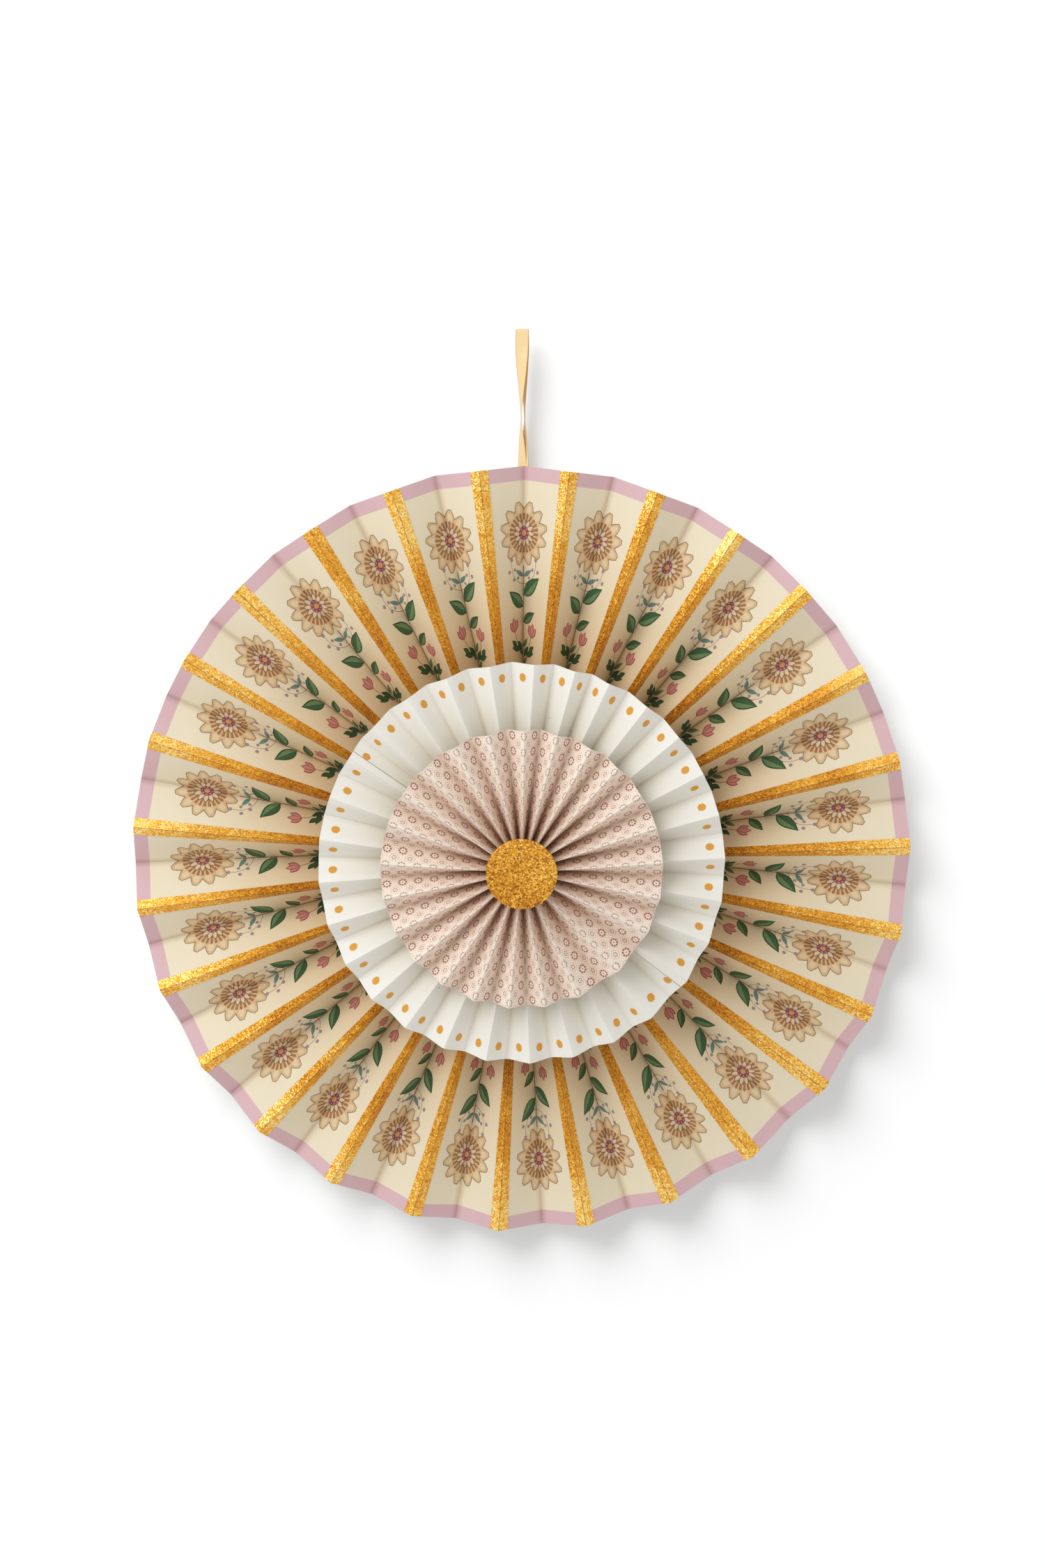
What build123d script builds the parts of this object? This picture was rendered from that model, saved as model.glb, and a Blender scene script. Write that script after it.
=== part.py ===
"""Paper fan medallion: three pleated paper fans stacked on one axis, hung from a ribbon loop.

All lengths are in millimetres. +Z is up as the medallion hangs, and its front faces -Y.
The origin is on the wall plane, behind the fans' common axis.
Heights of the stack are measured from the wall plane towards the front.
"""

import os
from math import cos, hypot, pi, sin, sqrt
from typing import NamedTuple

from build123d import *

# Paper and card
paper_thickness = 0.3
card_thickness = 1.0
backing_gap = 0.7
ribbon_thickness = 0.2
ribbon_width = 6.6

# Outer fan
outer_diameter = 400.0
outer_pleats = 27
outer_rim_depth = 13.7
outer_bore_diameter = 18.0
outer_first_fold = 7.0
outer_station_share = (0, 0.15, 0.3, 0.45, 0.6, 0.72, 0.83, 0.92, 1)
outer_pitch_share = {3: 1.13, 4: 1.06, 5: 0.97, 9: 1.11, 10: 1.06, 18: 0.95, 19: 0.93, 22: 0.96, 23: 1.05}

# Middle fan
middle_diameter = 207.0
middle_pleats = 29
middle_rim_depth = 9.2
middle_bore_diameter = 14.0
middle_first_fold = 3.5
middle_station_share = (0, 0.25, 0.48, 0.68, 0.85, 1)
middle_pitch_share = {0: 0.94, 1: 0.82, 10: 1.2, 24: 0.88}

# Inner fan
inner_diameter = 143.0
inner_pleats = 24
inner_rim_depth = 9.7
inner_bore_diameter = 12.0
inner_first_fold = 1.0
inner_cone_drop = 3.2
inner_station_share = (0, 0.28, 0.55, 0.8, 1)
inner_pitch_share = {0: 0.9, 2: 0.9, 8: 1.33, 9: 1.33, 18: 1.13, 19: 0.9, 20: 0.9}

# Binding of each fan's waist
tie_thickness = 0.8
tie_width = 2.4
tie_clearance = 0.15
waist_overlap = 0.8

# Gold strips over the front folds of the outer fan
strip_wing = 5.7
strip_thickness = 0.2
strip_film = 0.08
strip_start_share = 0.3

# Glue pads and discs
lower_pad_diameter = 34.0
lower_pad_height = 5.25
upper_pad_diameter = 26.0
upper_pad_height = 1.0
disc_pad_diameter = 26.0
disc_pad_height = 1.5
centre_disc_diameter = 36.0
disc_edge_bevel = 0.2
back_disc_diameter = 60.0
back_pad_diameter = 52.0
back_pad_clearance = 0.05
ribbon_slot_clearance = 0.3

# Ribbon loop: the route of its middle line, as places in X, Y and Z
ribbon_route = [
    (-3.6, -1.35, 10),
    (0, -4.2, 274),
    (0, -1.25, 274),
    (3.6, -1.35, 10),
]
ribbon_bend_radius = 1.45


class Fan(NamedTuple):
    """Sizes of one pleated fan, with its front folds numbered clockwise from the top."""

    radius: float
    bore: float
    pleats: int
    rim_depth: float
    first_fold: float
    cone_drop: float
    station_share: tuple
    pitch_share: dict


outer = Fan(
    outer_diameter / 2, outer_bore_diameter / 2, outer_pleats, outer_rim_depth,
    outer_first_fold, 0, outer_station_share, outer_pitch_share,
)
middle = Fan(
    middle_diameter / 2, middle_bore_diameter / 2, middle_pleats, middle_rim_depth,
    middle_first_fold, 0, middle_station_share, middle_pitch_share,
)
inner = Fan(
    inner_diameter / 2, inner_bore_diameter / 2, inner_pleats, inner_rim_depth,
    inner_first_fold, inner_cone_drop, inner_station_share, inner_pitch_share,
)


def chord(fan, radius):
    """Straight distance between a front fold and the next back fold at this radius."""
    return 2 * radius * sin(pi / fan.pleats / 2)


def panel_width(fan):
    """Width of one flat panel, from fold to fold, which is the fan's depth at its waist."""
    return hypot(chord(fan, fan.radius), fan.rim_depth)


def depth(fan, radius):
    """Front to back depth of the pleats: what the panel's width leaves once it spans the chord."""
    return sqrt(panel_width(fan) ** 2 - chord(fan, radius) ** 2)


def upright(fan, radius):
    """Height that the paper's thickness takes when it is measured along the fan's axis."""
    across = chord(fan, radius) ** 2 - paper_thickness**2
    lean = paper_thickness**2 * depth(fan, radius)
    reach = paper_thickness * hypot(chord(fan, radius), depth(fan, radius))
    return (sqrt(lean**2 + across * reach**2) - lean) / across


def stations(fan):
    """Radii at which the pleats' sections are drawn, from the bore to the rim."""
    return [fan.bore + (fan.radius - fan.bore) * share for share in fan.station_share]


def pitches(fan):
    """Angle from each front fold to the next, where relaxed pleats take more than an even part."""
    spare = fan.pleats - sum(fan.pitch_share.values())
    even = spare / (fan.pleats - len(fan.pitch_share))
    return [360 / fan.pleats * fan.pitch_share.get(index, even) for index in range(fan.pleats)]


def front_folds(fan):
    """Angle of each front fold, turning from the fan's right-hand side towards its top."""
    return [90 - fan.first_fold - sum(pitches(fan)[:index]) for index in range(fan.pleats)]


def drop(fan, radius):
    """How far the pleats lie back at this radius from where their waist is."""
    return fan.cone_drop * radius / fan.radius


def back_folds(fan):
    """Angle of each back fold, midway between its front fold and the next one."""
    return [fold - pitch / 2 for fold, pitch in zip(front_folds(fan), pitches(fan))]


def front_point(fan, radius, angle):
    """Place on a front fold of the paper's front side."""
    height = depth(fan, radius) / 2 - drop(fan, radius)
    return Vector(radius, 0, height).rotate(Axis.Z, angle)


def back_point(fan, radius, angle):
    """Place on a back fold of the paper's front side."""
    height = upright(fan, radius) - depth(fan, radius) / 2 - drop(fan, radius)
    return Vector(radius, 0, height).rotate(Axis.Z, angle)


def halves(near, far):
    """Two flat triangles for the stretch of panel between two stations.

    They meet on the line that joins the back fold at the near station to the front fold at the far one.
    """
    (a, b), (c, d) = near, far
    if a.Z < b.Z:
        return [(a, b, d), (a, d, c)]
    return [(a, b, c), (b, d, c)]


def folded_solid(rows, reaches, closed):
    """Solid sheet from rows of places on its front side, one row for each station, and its upright thickness."""
    under = [[place - Vector(0, 0, reach) for place in row] for row, reach in zip(rows, reaches)]
    if closed:
        rows = [row + row[:1] for row in rows]
        under = [row + row[:1] for row in under]
    panels = range(len(rows[0]) - 1)
    outlines = []
    for side in (rows, under):
        for near, far in zip(side, side[1:]):
            for panel in panels:
                outlines += halves(near[panel : panel + 2], far[panel : panel + 2])
    for end in (0, -1):
        outlines += [(rows[end][k], rows[end][k + 1], under[end][k + 1], under[end][k]) for k in panels]
    if not closed:
        for edge in (0, -1):
            outlines += [
                (rows[k][edge], rows[k + 1][edge], under[k + 1][edge], under[k][edge])
                for k in range(len(rows) - 1)
            ]
    return Solid(Shell([Face(Wire.make_polygon(outline)) for outline in outlines]))


def folded_fan(fan):
    """The whole folded sheet, with the front towards +Z."""
    rows = []
    for radius in stations(fan):
        row = []
        for front, back in zip(front_folds(fan), back_folds(fan)):
            row += [front_point(fan, radius, front), back_point(fan, radius, back)]
        rows.append(row)
    return folded_solid(rows, [upright(fan, radius) for radius in stations(fan)], closed=True)


def folded_strip(fan, index):
    """One strip over a front fold, with a wing on the panel at each side of it."""
    front = front_folds(fan)[index]
    before, after = back_folds(fan)[index - 1], back_folds(fan)[index]
    rows = []
    reaches = []
    covered = [
        radius for radius, share in zip(stations(fan), fan.station_share) if share >= strip_start_share
    ]
    for radius in covered:
        lean = upright(fan, radius) / paper_thickness
        lift = Vector(0, 0, (strip_film + strip_thickness) * lean)
        ridge = front_point(fan, radius, front)
        wings = [
            ridge + (back_point(fan, radius, angle) - ridge).normalized() * strip_wing
            for angle in (before, after)
        ]
        rows.append([wings[0] + lift, ridge + lift, wings[1] + lift])
        reaches.append(strip_thickness * lean)
    return folded_solid(rows, reaches, closed=False)


def waist_depth(fan):
    """Depth of the folded sheet's waist, where the tie pinches it below the folds."""
    return panel_width(fan) - 2 * (tie_thickness + tie_clearance + drop(fan, fan.bore))


def waist_width(fan):
    """Width of the folded sheet's waist, with all its panels pressed together."""
    return fan.pleats * paper_thickness


def waist_angle(fan):
    """Direction of the waist, which lies square to the line between the fan's two joins."""
    return front_folds(fan)[fan.pleats // 8]


def waist(fan):
    """The pressed waist of the folded sheet, which runs across the bore."""
    with BuildPart() as block:
        with BuildSketch(Plane.XY.offset(-waist_depth(fan) / 2)):
            Rectangle(2 * (fan.bore + waist_overlap), waist_width(fan), rotation=waist_angle(fan))
        extrude(amount=waist_depth(fan))
    return block.part


def tie(fan):
    """Thread wound round the waist, as one flat band."""
    across = waist_width(fan) + 2 * tie_clearance
    along = waist_depth(fan) + 2 * tie_clearance
    lengthwise = Vector(1, 0, 0).rotate(Axis.Z, waist_angle(fan))
    with BuildPart() as band:
        with BuildSketch(Plane(origin=(0, 0, 0), x_dir=lengthwise.cross(Vector(0, 0, 1)), z_dir=lengthwise)):
            Rectangle(across + 2 * tie_thickness, along + 2 * tie_thickness)
            Rectangle(across, along, mode=Mode.SUBTRACT)
        extrude(amount=tie_width / 2, both=True)
    return band.part


# Heights of the stack above the wall plane
outer_height = card_thickness + backing_gap + panel_width(outer) / 2
lower_pad_base = outer_height + panel_width(outer) / 2
middle_height = lower_pad_base + lower_pad_height + panel_width(middle) / 2
upper_pad_base = middle_height + panel_width(middle) / 2
inner_seat = upper_pad_base + upper_pad_height + drop(inner, upper_pad_diameter / 2)
inner_height = inner_seat + panel_width(inner) / 2
disc_pad_base = inner_height + panel_width(inner) / 2 - drop(inner, inner.bore)
centre_disc_base = disc_pad_base + disc_pad_height

# Outer fan: one folded sheet
with BuildPart(Plane.XZ.offset(outer_height)) as outer_fan:
    add(folded_fan(outer))
    add(waist(outer))

# Middle fan: one folded sheet
with BuildPart(Plane.XZ.offset(middle_height)) as middle_fan:
    add(folded_fan(middle))
    add(waist(middle))

# Inner fan: one folded sheet, its rim lying a little back from its waist
with BuildPart(Plane.XZ.offset(inner_height)) as inner_fan:
    add(folded_fan(inner))
    add(waist(inner))

# Gold strips: one folded strip over each front fold of the outer fan
with BuildPart(Plane.XZ.offset(outer_height)) as gold_strips:
    add([folded_strip(outer, index) for index in range(outer.pleats)])

# Ties round the three waists
with BuildPart(Plane.XZ.offset(outer_height)) as outer_tie:
    add(tie(outer))

with BuildPart(Plane.XZ.offset(middle_height)) as middle_tie:
    add(tie(middle))

with BuildPart(Plane.XZ.offset(inner_height)) as inner_tie:
    add(tie(inner))

# Foam pad between the outer and middle fans
with BuildPart() as lower_pad:
    with BuildSketch(Plane.XZ.offset(lower_pad_base)):
        Circle(lower_pad_diameter / 2)
    extrude(amount=lower_pad_height)

# Foam pad between the middle and inner fans
with BuildPart() as upper_pad:
    with BuildSketch(Plane.XZ.offset(upper_pad_base)):
        Circle(upper_pad_diameter / 2)
    extrude(amount=upper_pad_height)

# Foam pad under the centre disc
with BuildPart() as disc_pad:
    with BuildSketch(Plane.XZ.offset(disc_pad_base)):
        Circle(disc_pad_diameter / 2)
    extrude(amount=disc_pad_height)

# Centre disc of glitter card
with BuildPart() as centre_disc:
    with BuildSketch(Plane.XZ.offset(centre_disc_base)):
        Circle(centre_disc_diameter / 2)
    extrude(amount=card_thickness)
    chamfer(centre_disc.faces().sort_by(Axis.Y)[0].edges(), disc_edge_bevel)

# Back disc of plain card, flat against the wall
with BuildPart() as back_disc:
    with BuildSketch(Plane.XZ):
        Circle(back_disc_diameter / 2)
    extrude(amount=card_thickness)

# Glue between the back disc and the outer fan, with a slot where the ribbon's two ends lie side by side
ribbon_ends = [Vector(*ribbon_route[0]), Vector(*ribbon_route[-1])]
with BuildPart() as back_pad:
    with BuildSketch(Plane.XZ.offset(card_thickness + back_pad_clearance)):
        Circle(back_pad_diameter / 2)
        with Locations((0, ribbon_ends[0].Z - ribbon_slot_clearance)):
            Rectangle(
                (ribbon_ends[1] - ribbon_ends[0]).X + ribbon_width + 2 * ribbon_slot_clearance,
                back_pad_diameter,
                align=(Align.CENTER, Align.MIN),
                mode=Mode.SUBTRACT,
            )
    extrude(amount=backing_gap - 2 * back_pad_clearance)

# Hanging ribbon: a flat loop
with BuildPart() as hanging_ribbon:
    with BuildLine() as ribbon_line:
        FilletPolyline(*ribbon_route, radius=ribbon_bend_radius)
    rise = ribbon_line.line % 0
    across = Vector(0, 1, 0).cross(rise)
    with BuildSketch(Plane(origin=ribbon_route[0], x_dir=across, z_dir=rise)):
        Rectangle(ribbon_width, ribbon_thickness)
    sweep(path=ribbon_line.line)

outer_fan.part.label = "outer_fan"
middle_fan.part.label = "middle_fan"
inner_fan.part.label = "inner_fan"
gold_strips.part.label = "gold_strips"
outer_tie.part.label = "outer_tie"
middle_tie.part.label = "middle_tie"
inner_tie.part.label = "inner_tie"
lower_pad.part.label = "lower_pad"
upper_pad.part.label = "upper_pad"
disc_pad.part.label = "disc_pad"
centre_disc.part.label = "centre_disc"
back_disc.part.label = "back_disc"
back_pad.part.label = "back_pad"
hanging_ribbon.part.label = "hanging_ribbon"

os.makedirs("parts", exist_ok=True)
export_step(outer_fan.part, "parts/outer_fan.step")
export_step(middle_fan.part, "parts/middle_fan.step")
export_step(inner_fan.part, "parts/inner_fan.step")
export_step(gold_strips.part, "parts/gold_strips.step")
export_step(outer_tie.part, "parts/outer_tie.step")
export_step(middle_tie.part, "parts/middle_tie.step")
export_step(inner_tie.part, "parts/inner_tie.step")
export_step(lower_pad.part, "parts/lower_pad.step")
export_step(upper_pad.part, "parts/upper_pad.step")
export_step(disc_pad.part, "parts/disc_pad.step")
export_step(centre_disc.part, "parts/centre_disc.step")
export_step(back_disc.part, "parts/back_disc.step")
export_step(back_pad.part, "parts/back_pad.step")
export_step(hanging_ribbon.part, "parts/hanging_ribbon.step")
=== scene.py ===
"""Looks of the paper fan medallion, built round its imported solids.

The three fans and the gold strips are cut flat, printed flat and then folded by one Geometry Nodes tree, the
way they are made on the bench. Their folds, depth and place are read from the solids, so the looks follow
them. Lengths are in metres unless a name says otherwise, +Z is up and the front faces -Y.
"""

import logging
import math
from collections import Counter
from dataclasses import dataclass, field, replace
from enum import Enum
from random import Random
from typing import Sequence

import bmesh
import bpy
from bpy.types import ID, Material, Mesh, Node, NodeSocket, NodeTree, Object
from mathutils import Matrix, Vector
from mathutils.geometry import delaunay_2d_cdt


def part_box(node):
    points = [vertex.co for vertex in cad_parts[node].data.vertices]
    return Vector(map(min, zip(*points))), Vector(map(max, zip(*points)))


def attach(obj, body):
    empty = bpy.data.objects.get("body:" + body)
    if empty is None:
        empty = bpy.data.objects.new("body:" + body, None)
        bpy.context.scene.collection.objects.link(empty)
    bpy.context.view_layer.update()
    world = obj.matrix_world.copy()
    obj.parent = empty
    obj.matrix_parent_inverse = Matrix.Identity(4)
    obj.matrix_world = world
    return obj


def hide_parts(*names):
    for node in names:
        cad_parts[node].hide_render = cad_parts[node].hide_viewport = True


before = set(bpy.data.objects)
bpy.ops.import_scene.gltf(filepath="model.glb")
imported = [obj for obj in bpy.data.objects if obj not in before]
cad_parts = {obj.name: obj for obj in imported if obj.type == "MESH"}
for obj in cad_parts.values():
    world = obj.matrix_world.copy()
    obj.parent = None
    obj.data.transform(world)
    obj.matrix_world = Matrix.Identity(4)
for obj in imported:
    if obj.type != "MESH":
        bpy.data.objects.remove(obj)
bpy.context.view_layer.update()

log = logging.getLogger("medallion")

MM = 0.001
# A sheet's print map holds its flat place, across and outwards, in this many metres a unit
MAP_UNIT = 0.1
PRINT_MAP = "print"
SMALLEST_EDGE = 1e-4
# Folds of a sheet sharper than this, in degrees, are shaded as edges
SHARP_FOLD = 24.0
WHITE = (1.0, 1.0, 1.0, 1.0)
Spot = tuple[float, float]
Outline = list[Spot]


def colour(code: str) -> tuple[float, float, float, float]:
    """Turn a colour as it looks on screen into the linear one that a shader takes.

    Args:
        code: Six hexadecimal digits, red first.

    Returns:
        Red, green, blue and a full alpha.
    """
    shares = [int(code[k : k + 2], 16) / 255 for k in (0, 2, 4)]
    linear = [s / 12.92 if s <= 0.04045 else ((s + 0.055) / 1.055) ** 2.4 for s in shares]
    return (*linear, 1.0)


class Number:
    """A number in a node tree that takes part in plain sums."""

    def __init__(self, tree: NodeTree, socket: NodeSocket) -> None:
        """Hold the tree and the output socket that carries the number."""
        self.tree, self.socket = tree, socket

    def work(self, operation: str, *others: "Number | float") -> "Number":
        """Feed this number and others to one Math node.

        Args:
            operation: The Math node's operation.
            others: The numbers for its second and third inputs.

        Returns:
            The node's result.
        """
        node = self.tree.nodes.new("ShaderNodeMath")
        node.operation = operation
        for socket, value in zip(node.inputs, (self, *others)):
            if isinstance(value, Number):
                self.tree.links.new(value.socket, socket)
            else:
                socket.default_value = value
        return Number(self.tree, node.outputs[0])

    def __add__(self, other: "Number | float") -> "Number":
        """Sum."""
        return self.work("ADD", other)

    def __sub__(self, other: "Number | float") -> "Number":
        """Difference."""
        return self.work("SUBTRACT", other)

    def __mul__(self, other: "Number | float") -> "Number":
        """Product."""
        return self.work("MULTIPLY", other)

    def __truediv__(self, other: "Number | float") -> "Number":
        """Quotient."""
        return self.work("DIVIDE", other)

    def __rsub__(self, other: float) -> "Number":
        """Plain number less this one."""
        return self.work("MULTIPLY", -1.0).work("ADD", other)

    def size(self) -> "Number":
        """Value without its sign."""
        return self.work("ABSOLUTE")

    def root(self) -> "Number":
        """Square root."""
        return self.work("SQRT")

    def least(self, other: "Number | float") -> "Number":
        """The smaller of the two."""
        return self.work("MINIMUM", other)

    def most(self, other: "Number | float") -> "Number":
        """The larger of the two."""
        return self.work("MAXIMUM", other)

    def held(self) -> "Number":
        """Value kept from nought to one."""
        return self.most(0.0).least(1.0)

    def under(self, limit: float, blur: float) -> "Number":
        """One well under the limit and nought well over it, with a soft step between."""
        return ((limit - self) / blur + 0.5).held()


class Recipe:
    """A node tree written one step at a time."""

    def __init__(self, tree: NodeTree) -> None:
        """Start with the tree to write in."""
        self.tree = tree

    def add(self, kind: str, inputs: dict | None = None, **settings: object) -> Node:
        """Add one node.

        Args:
            kind: The node's type.
            inputs: Values, numbers or sockets for its inputs, by name or place.
            settings: The node's own settings.

        Returns:
            The new node.
        """
        node = self.tree.nodes.new(kind)
        for name, value in settings.items():
            setattr(node, name, value)
        for key, value in (inputs or {}).items():
            self.feed(node.inputs[key], value)
        return node

    def step(self, kind: str, inputs: dict | None = None, **settings: object) -> NodeSocket:
        """Add one node and take its first output."""
        return self.add(kind, inputs, **settings).outputs[0]

    def feed(self, socket: NodeSocket, value: object) -> None:
        """Link a number or a socket to an input, or set the input's own value."""
        if isinstance(value, Number):
            value = value.socket
        if isinstance(value, NodeSocket):
            self.tree.links.new(value, socket)
        else:
            socket.default_value = value

    def number(self, socket: NodeSocket) -> Number:
        """Wrap an output socket for sums."""
        return Number(self.tree, socket)

    def parts(self, socket: NodeSocket) -> tuple[Number, Number, Number]:
        """Split a vector into its three numbers."""
        split = self.add("ShaderNodeSeparateXYZ", {0: socket})
        return tuple(self.number(split.outputs[k]) for k in range(3))


class Coat(Recipe):
    """Recipe of one material, with the steps that its finishes share."""

    def __init__(self, name: str) -> None:
        """Make the material and its plain shader."""
        self.material = bpy.data.materials.new(name)
        self.material.use_nodes = True
        super().__init__(self.material.node_tree)
        self.tree.nodes.clear()
        self.shader = self.add("ShaderNodeBsdfPrincipled")
        self.surface = self.add("ShaderNodeOutputMaterial").inputs["Surface"]
        self.feed(self.surface, self.shader.outputs[0])

    def place(self) -> NodeSocket:
        """Place on the object, in metres."""
        return self.add("ShaderNodeTexCoord").outputs["Object"]

    def map_place(self) -> tuple[Number, Number]:
        """Place on the print map, in its own units."""
        return self.parts(self.add("ShaderNodeUVMap", uv_map=PRINT_MAP).outputs["UV"])[:2]

    def flat_place(self) -> tuple[Number, Number]:
        """Place on the flat sheet, across from its back fold and outwards, in metres."""
        across, outwards = self.map_place()
        return across * MAP_UNIT, outwards * MAP_UNIT

    def noise(self, place: NodeSocket, grain: float, detail: float = 2.0) -> Number:
        """Noise from nought to one whose spots are about grain across."""
        inputs = {"Vector": place, "Scale": 1 / grain, "Detail": detail, "Roughness": 0.55}
        return self.number(self.step("ShaderNodeTexNoise", inputs))

    def cells(self, place: NodeSocket, size: float) -> tuple[Number, NodeSocket]:
        """Distance from the middle of cells of about a size, and each cell's own chance colour."""
        node = self.add("ShaderNodeTexVoronoi", {"Vector": place, "Scale": 1 / size})
        return self.number(node.outputs["Distance"]), node.outputs["Color"]

    def mixed(self, share: Number | float, first: object, second: object, kind: str) -> NodeSocket:
        """Mix two colours in one of the Mix node's ways."""
        inputs = {0: share, 6: first, 7: second}
        return self.add("ShaderNodeMix", inputs, data_type="RGBA", blend_type=kind).outputs[2]

    def blend(self, share: Number, first: object, second: object) -> NodeSocket:
        """Mix two colours by a share of the second."""
        return self.mixed(share, first, second, "MIX")

    def times(self, share: Number | float, tint: object, other: object) -> NodeSocket:
        """Multiply a colour by another, by a share."""
        return self.mixed(share, tint, other, "MULTIPLY")

    def bright(self, tint: object, gain: Number) -> NodeSocket:
        """Make a colour lighter or darker by a gain."""
        grey = self.step("ShaderNodeCombineColor", {0: gain, 1: gain, 2: gain})
        return self.times(1.0, tint, grey)

    def bump(self, height: Number, depth: float, normal: NodeSocket | None = None) -> NodeSocket:
        """Bump whose full height is depth, over another bump's normal if there is one."""
        inputs = {"Height": height, "Distance": depth, "Strength": 1.0}
        if normal is not None:
            inputs["Normal"] = normal
        return self.add("ShaderNodeBump", inputs).outputs["Normal"]

    def spread(self, value: Number, stops: Sequence[tuple[float, str]]) -> NodeSocket:
        """Colour ramp over a number from nought to one.

        Args:
            value: The number.
            stops: Place and colour of each stop.

        Returns:
            The colour.
        """
        node = self.add("ShaderNodeValToRGB", {0: value})
        ramp = node.color_ramp
        for _ in stops[2:]:
            ramp.elements.new(0.5)
        for element, (position, code) in zip(ramp.elements, stops):
            element.position = position
            element.color = colour(code)
        return node.outputs[0]

    def set(self, **values: object) -> Material:
        """Feed the shader's inputs, with underscores for spaces in their names.

        Returns:
            The finished material.
        """
        for name, value in values.items():
            self.feed(self.shader.inputs[name.replace("_", " ")], value)
        return self.material


@dataclass(frozen=True)
class Paper:
    """Matt paper in one ink, with fibres, a faint mottle, wear and a painted highlight on its front folds,
    painted shade along its back folds, and painted warm shade towards the middle.

    A line along a fold is given by half its width and the width of its soft edge.
    """

    name: str
    ink: str
    panel_width: float = 0.0
    roughness: float = 0.62
    gloss: float = 0.35
    mottle: float = 0.05
    fibre: float = 0.5 * MM
    cloud: float = 14 * MM
    # Front folds lighten with wear and a painted highlight
    fold_rub_and_highlight: float = 0.22
    front_line: tuple = (0.35 * MM, 0.5 * MM)
    rub_and_highlight: float = 2.2 * MM
    rub_and_highlight_tint: str = "fffaf0"
    # Dark line along back folds: a fold mark and painted shade
    crease_line_and_shade: float = 0.3
    back_line: tuple = (0.28 * MM, 0.4 * MM)
    pressed: float = 5 * MM
    # Painted shade in the trough beside back folds
    valley_shade: float = 0.32
    valley_shade_reach: float = 3.25 * MM
    fold_shade_tint: str = "a07850"
    # Painted highlight in a band along the front folds
    crest_light: float = 0.0
    crest_line: tuple = (1.0 * MM, 4.5 * MM)
    # Colour and reach of the painted warm shade under the fan in front
    tone: str = "ffe2c2"
    shade_start: float = 0.0
    shade_full: float = 0.0
    trough_shade: float = 0.35
    specks: float = 0.0
    speck_pitch: float = 7 * MM
    speck_tint: str = "4d4048"

    def ground(self, coat: Coat) -> object:
        """Ink of the sheet before wear: one even colour."""
        return colour(self.ink)

    def painted_shade(self, coat: Coat, tint: object) -> NodeSocket:
        """Paint warm shade on the paper where it runs in under the fan in front, most of all down in its
        troughs.

        Args:
            coat: The material's recipe.
            tint: The ink's colour.

        Returns:
            The toned colour.
        """
        across, outwards = coat.flat_place()
        near = ((self.shade_start - outwards) / (self.shade_start - self.shade_full)).held()
        trough = (1.0 - across.size() / self.panel_width).most(0.0)
        share = near * (trough * self.trough_shade + (1.0 - self.trough_shade))
        return coat.times(share, tint, colour(self.tone))

    def fold_marks_light_and_shade(self, coat: Coat, tint: object, place: NodeSocket) -> NodeSocket:
        """Lighten front folds with wear and a painted highlight, and paint shade along and beside back
        folds.

        Args:
            coat: The material's recipe.
            tint: The ink's colour.
            place: Place on the object.

        Returns:
            The colour with its wear, painted highlight and painted shade.
        """
        across = coat.flat_place()[0].size()
        off_front = self.panel_width - across
        # Wear and a painted highlight along the front folds, with a wider painted highlight where
        # crest_light is set
        rub_and_highlight = coat.noise(place, self.rub_and_highlight, 3.0) * (2.2 * self.fold_rub_and_highlight)
        front = off_front.under(*self.front_line) * rub_and_highlight
        if self.crest_light:
            front = front.most(off_front.under(*self.crest_line) * self.crest_light)
        # Fold line and painted shade along and beside the back folds
        line = across.under(*self.back_line) * (coat.noise(place, self.pressed) + 0.5) * self.crease_line_and_shade
        valley_shade = (1.0 - across / self.valley_shade_reach).most(0.0) * self.valley_shade
        lighter = coat.blend(front, tint, colour(self.rub_and_highlight_tint))
        return coat.times(line.most(valley_shade), lighter, colour(self.fold_shade_tint))

    def speckled(self, coat: Coat, tint: object, place: NodeSocket) -> NodeSocket:
        """Strew a few tiny dark specks over the sheet.

        Args:
            coat: The material's recipe.
            tint: The paper's colour.
            place: Place on the object.

        Returns:
            The speckled colour.
        """
        far, chance = coat.cells(place, self.speck_pitch)
        rare = coat.parts(chance)[0].work("GREATER_THAN", 1.0 - self.specks)
        return coat.blend(far.under(0.065, 0.03) * rare * 0.7, tint, colour(self.speck_tint))

    def material(self) -> Material:
        """Make the material."""
        coat = Coat(self.name)
        place = coat.place()
        fibres = coat.noise(place, self.fibre, 3.0)
        clouds = coat.noise(place, self.cloud, 3.0)
        tint = self.ground(coat)
        # Painted warm shade where the sheet runs in under the fan in front
        if self.shade_start:
            tint = self.painted_shade(coat, tint)
        # Wear and painted highlight on front folds, painted shade at back folds
        if self.panel_width:
            tint = self.fold_marks_light_and_shade(coat, tint, place)
        if self.specks:
            tint = self.speckled(coat, tint, place)
        gain = (clouds - 0.5) * self.mottle + (fibres - 0.5) * (0.7 * self.mottle) + 1.0
        grain = coat.bump(fibres, 0.02 * MM)
        waves = coat.bump(coat.noise(place, 9 * MM), 0.12 * MM, grain)
        return coat.set(
            Base_Color=coat.bright(tint, gain), Normal=waves, Roughness=self.roughness,
            Specular_IOR_Level=self.gloss,
        )


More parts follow.
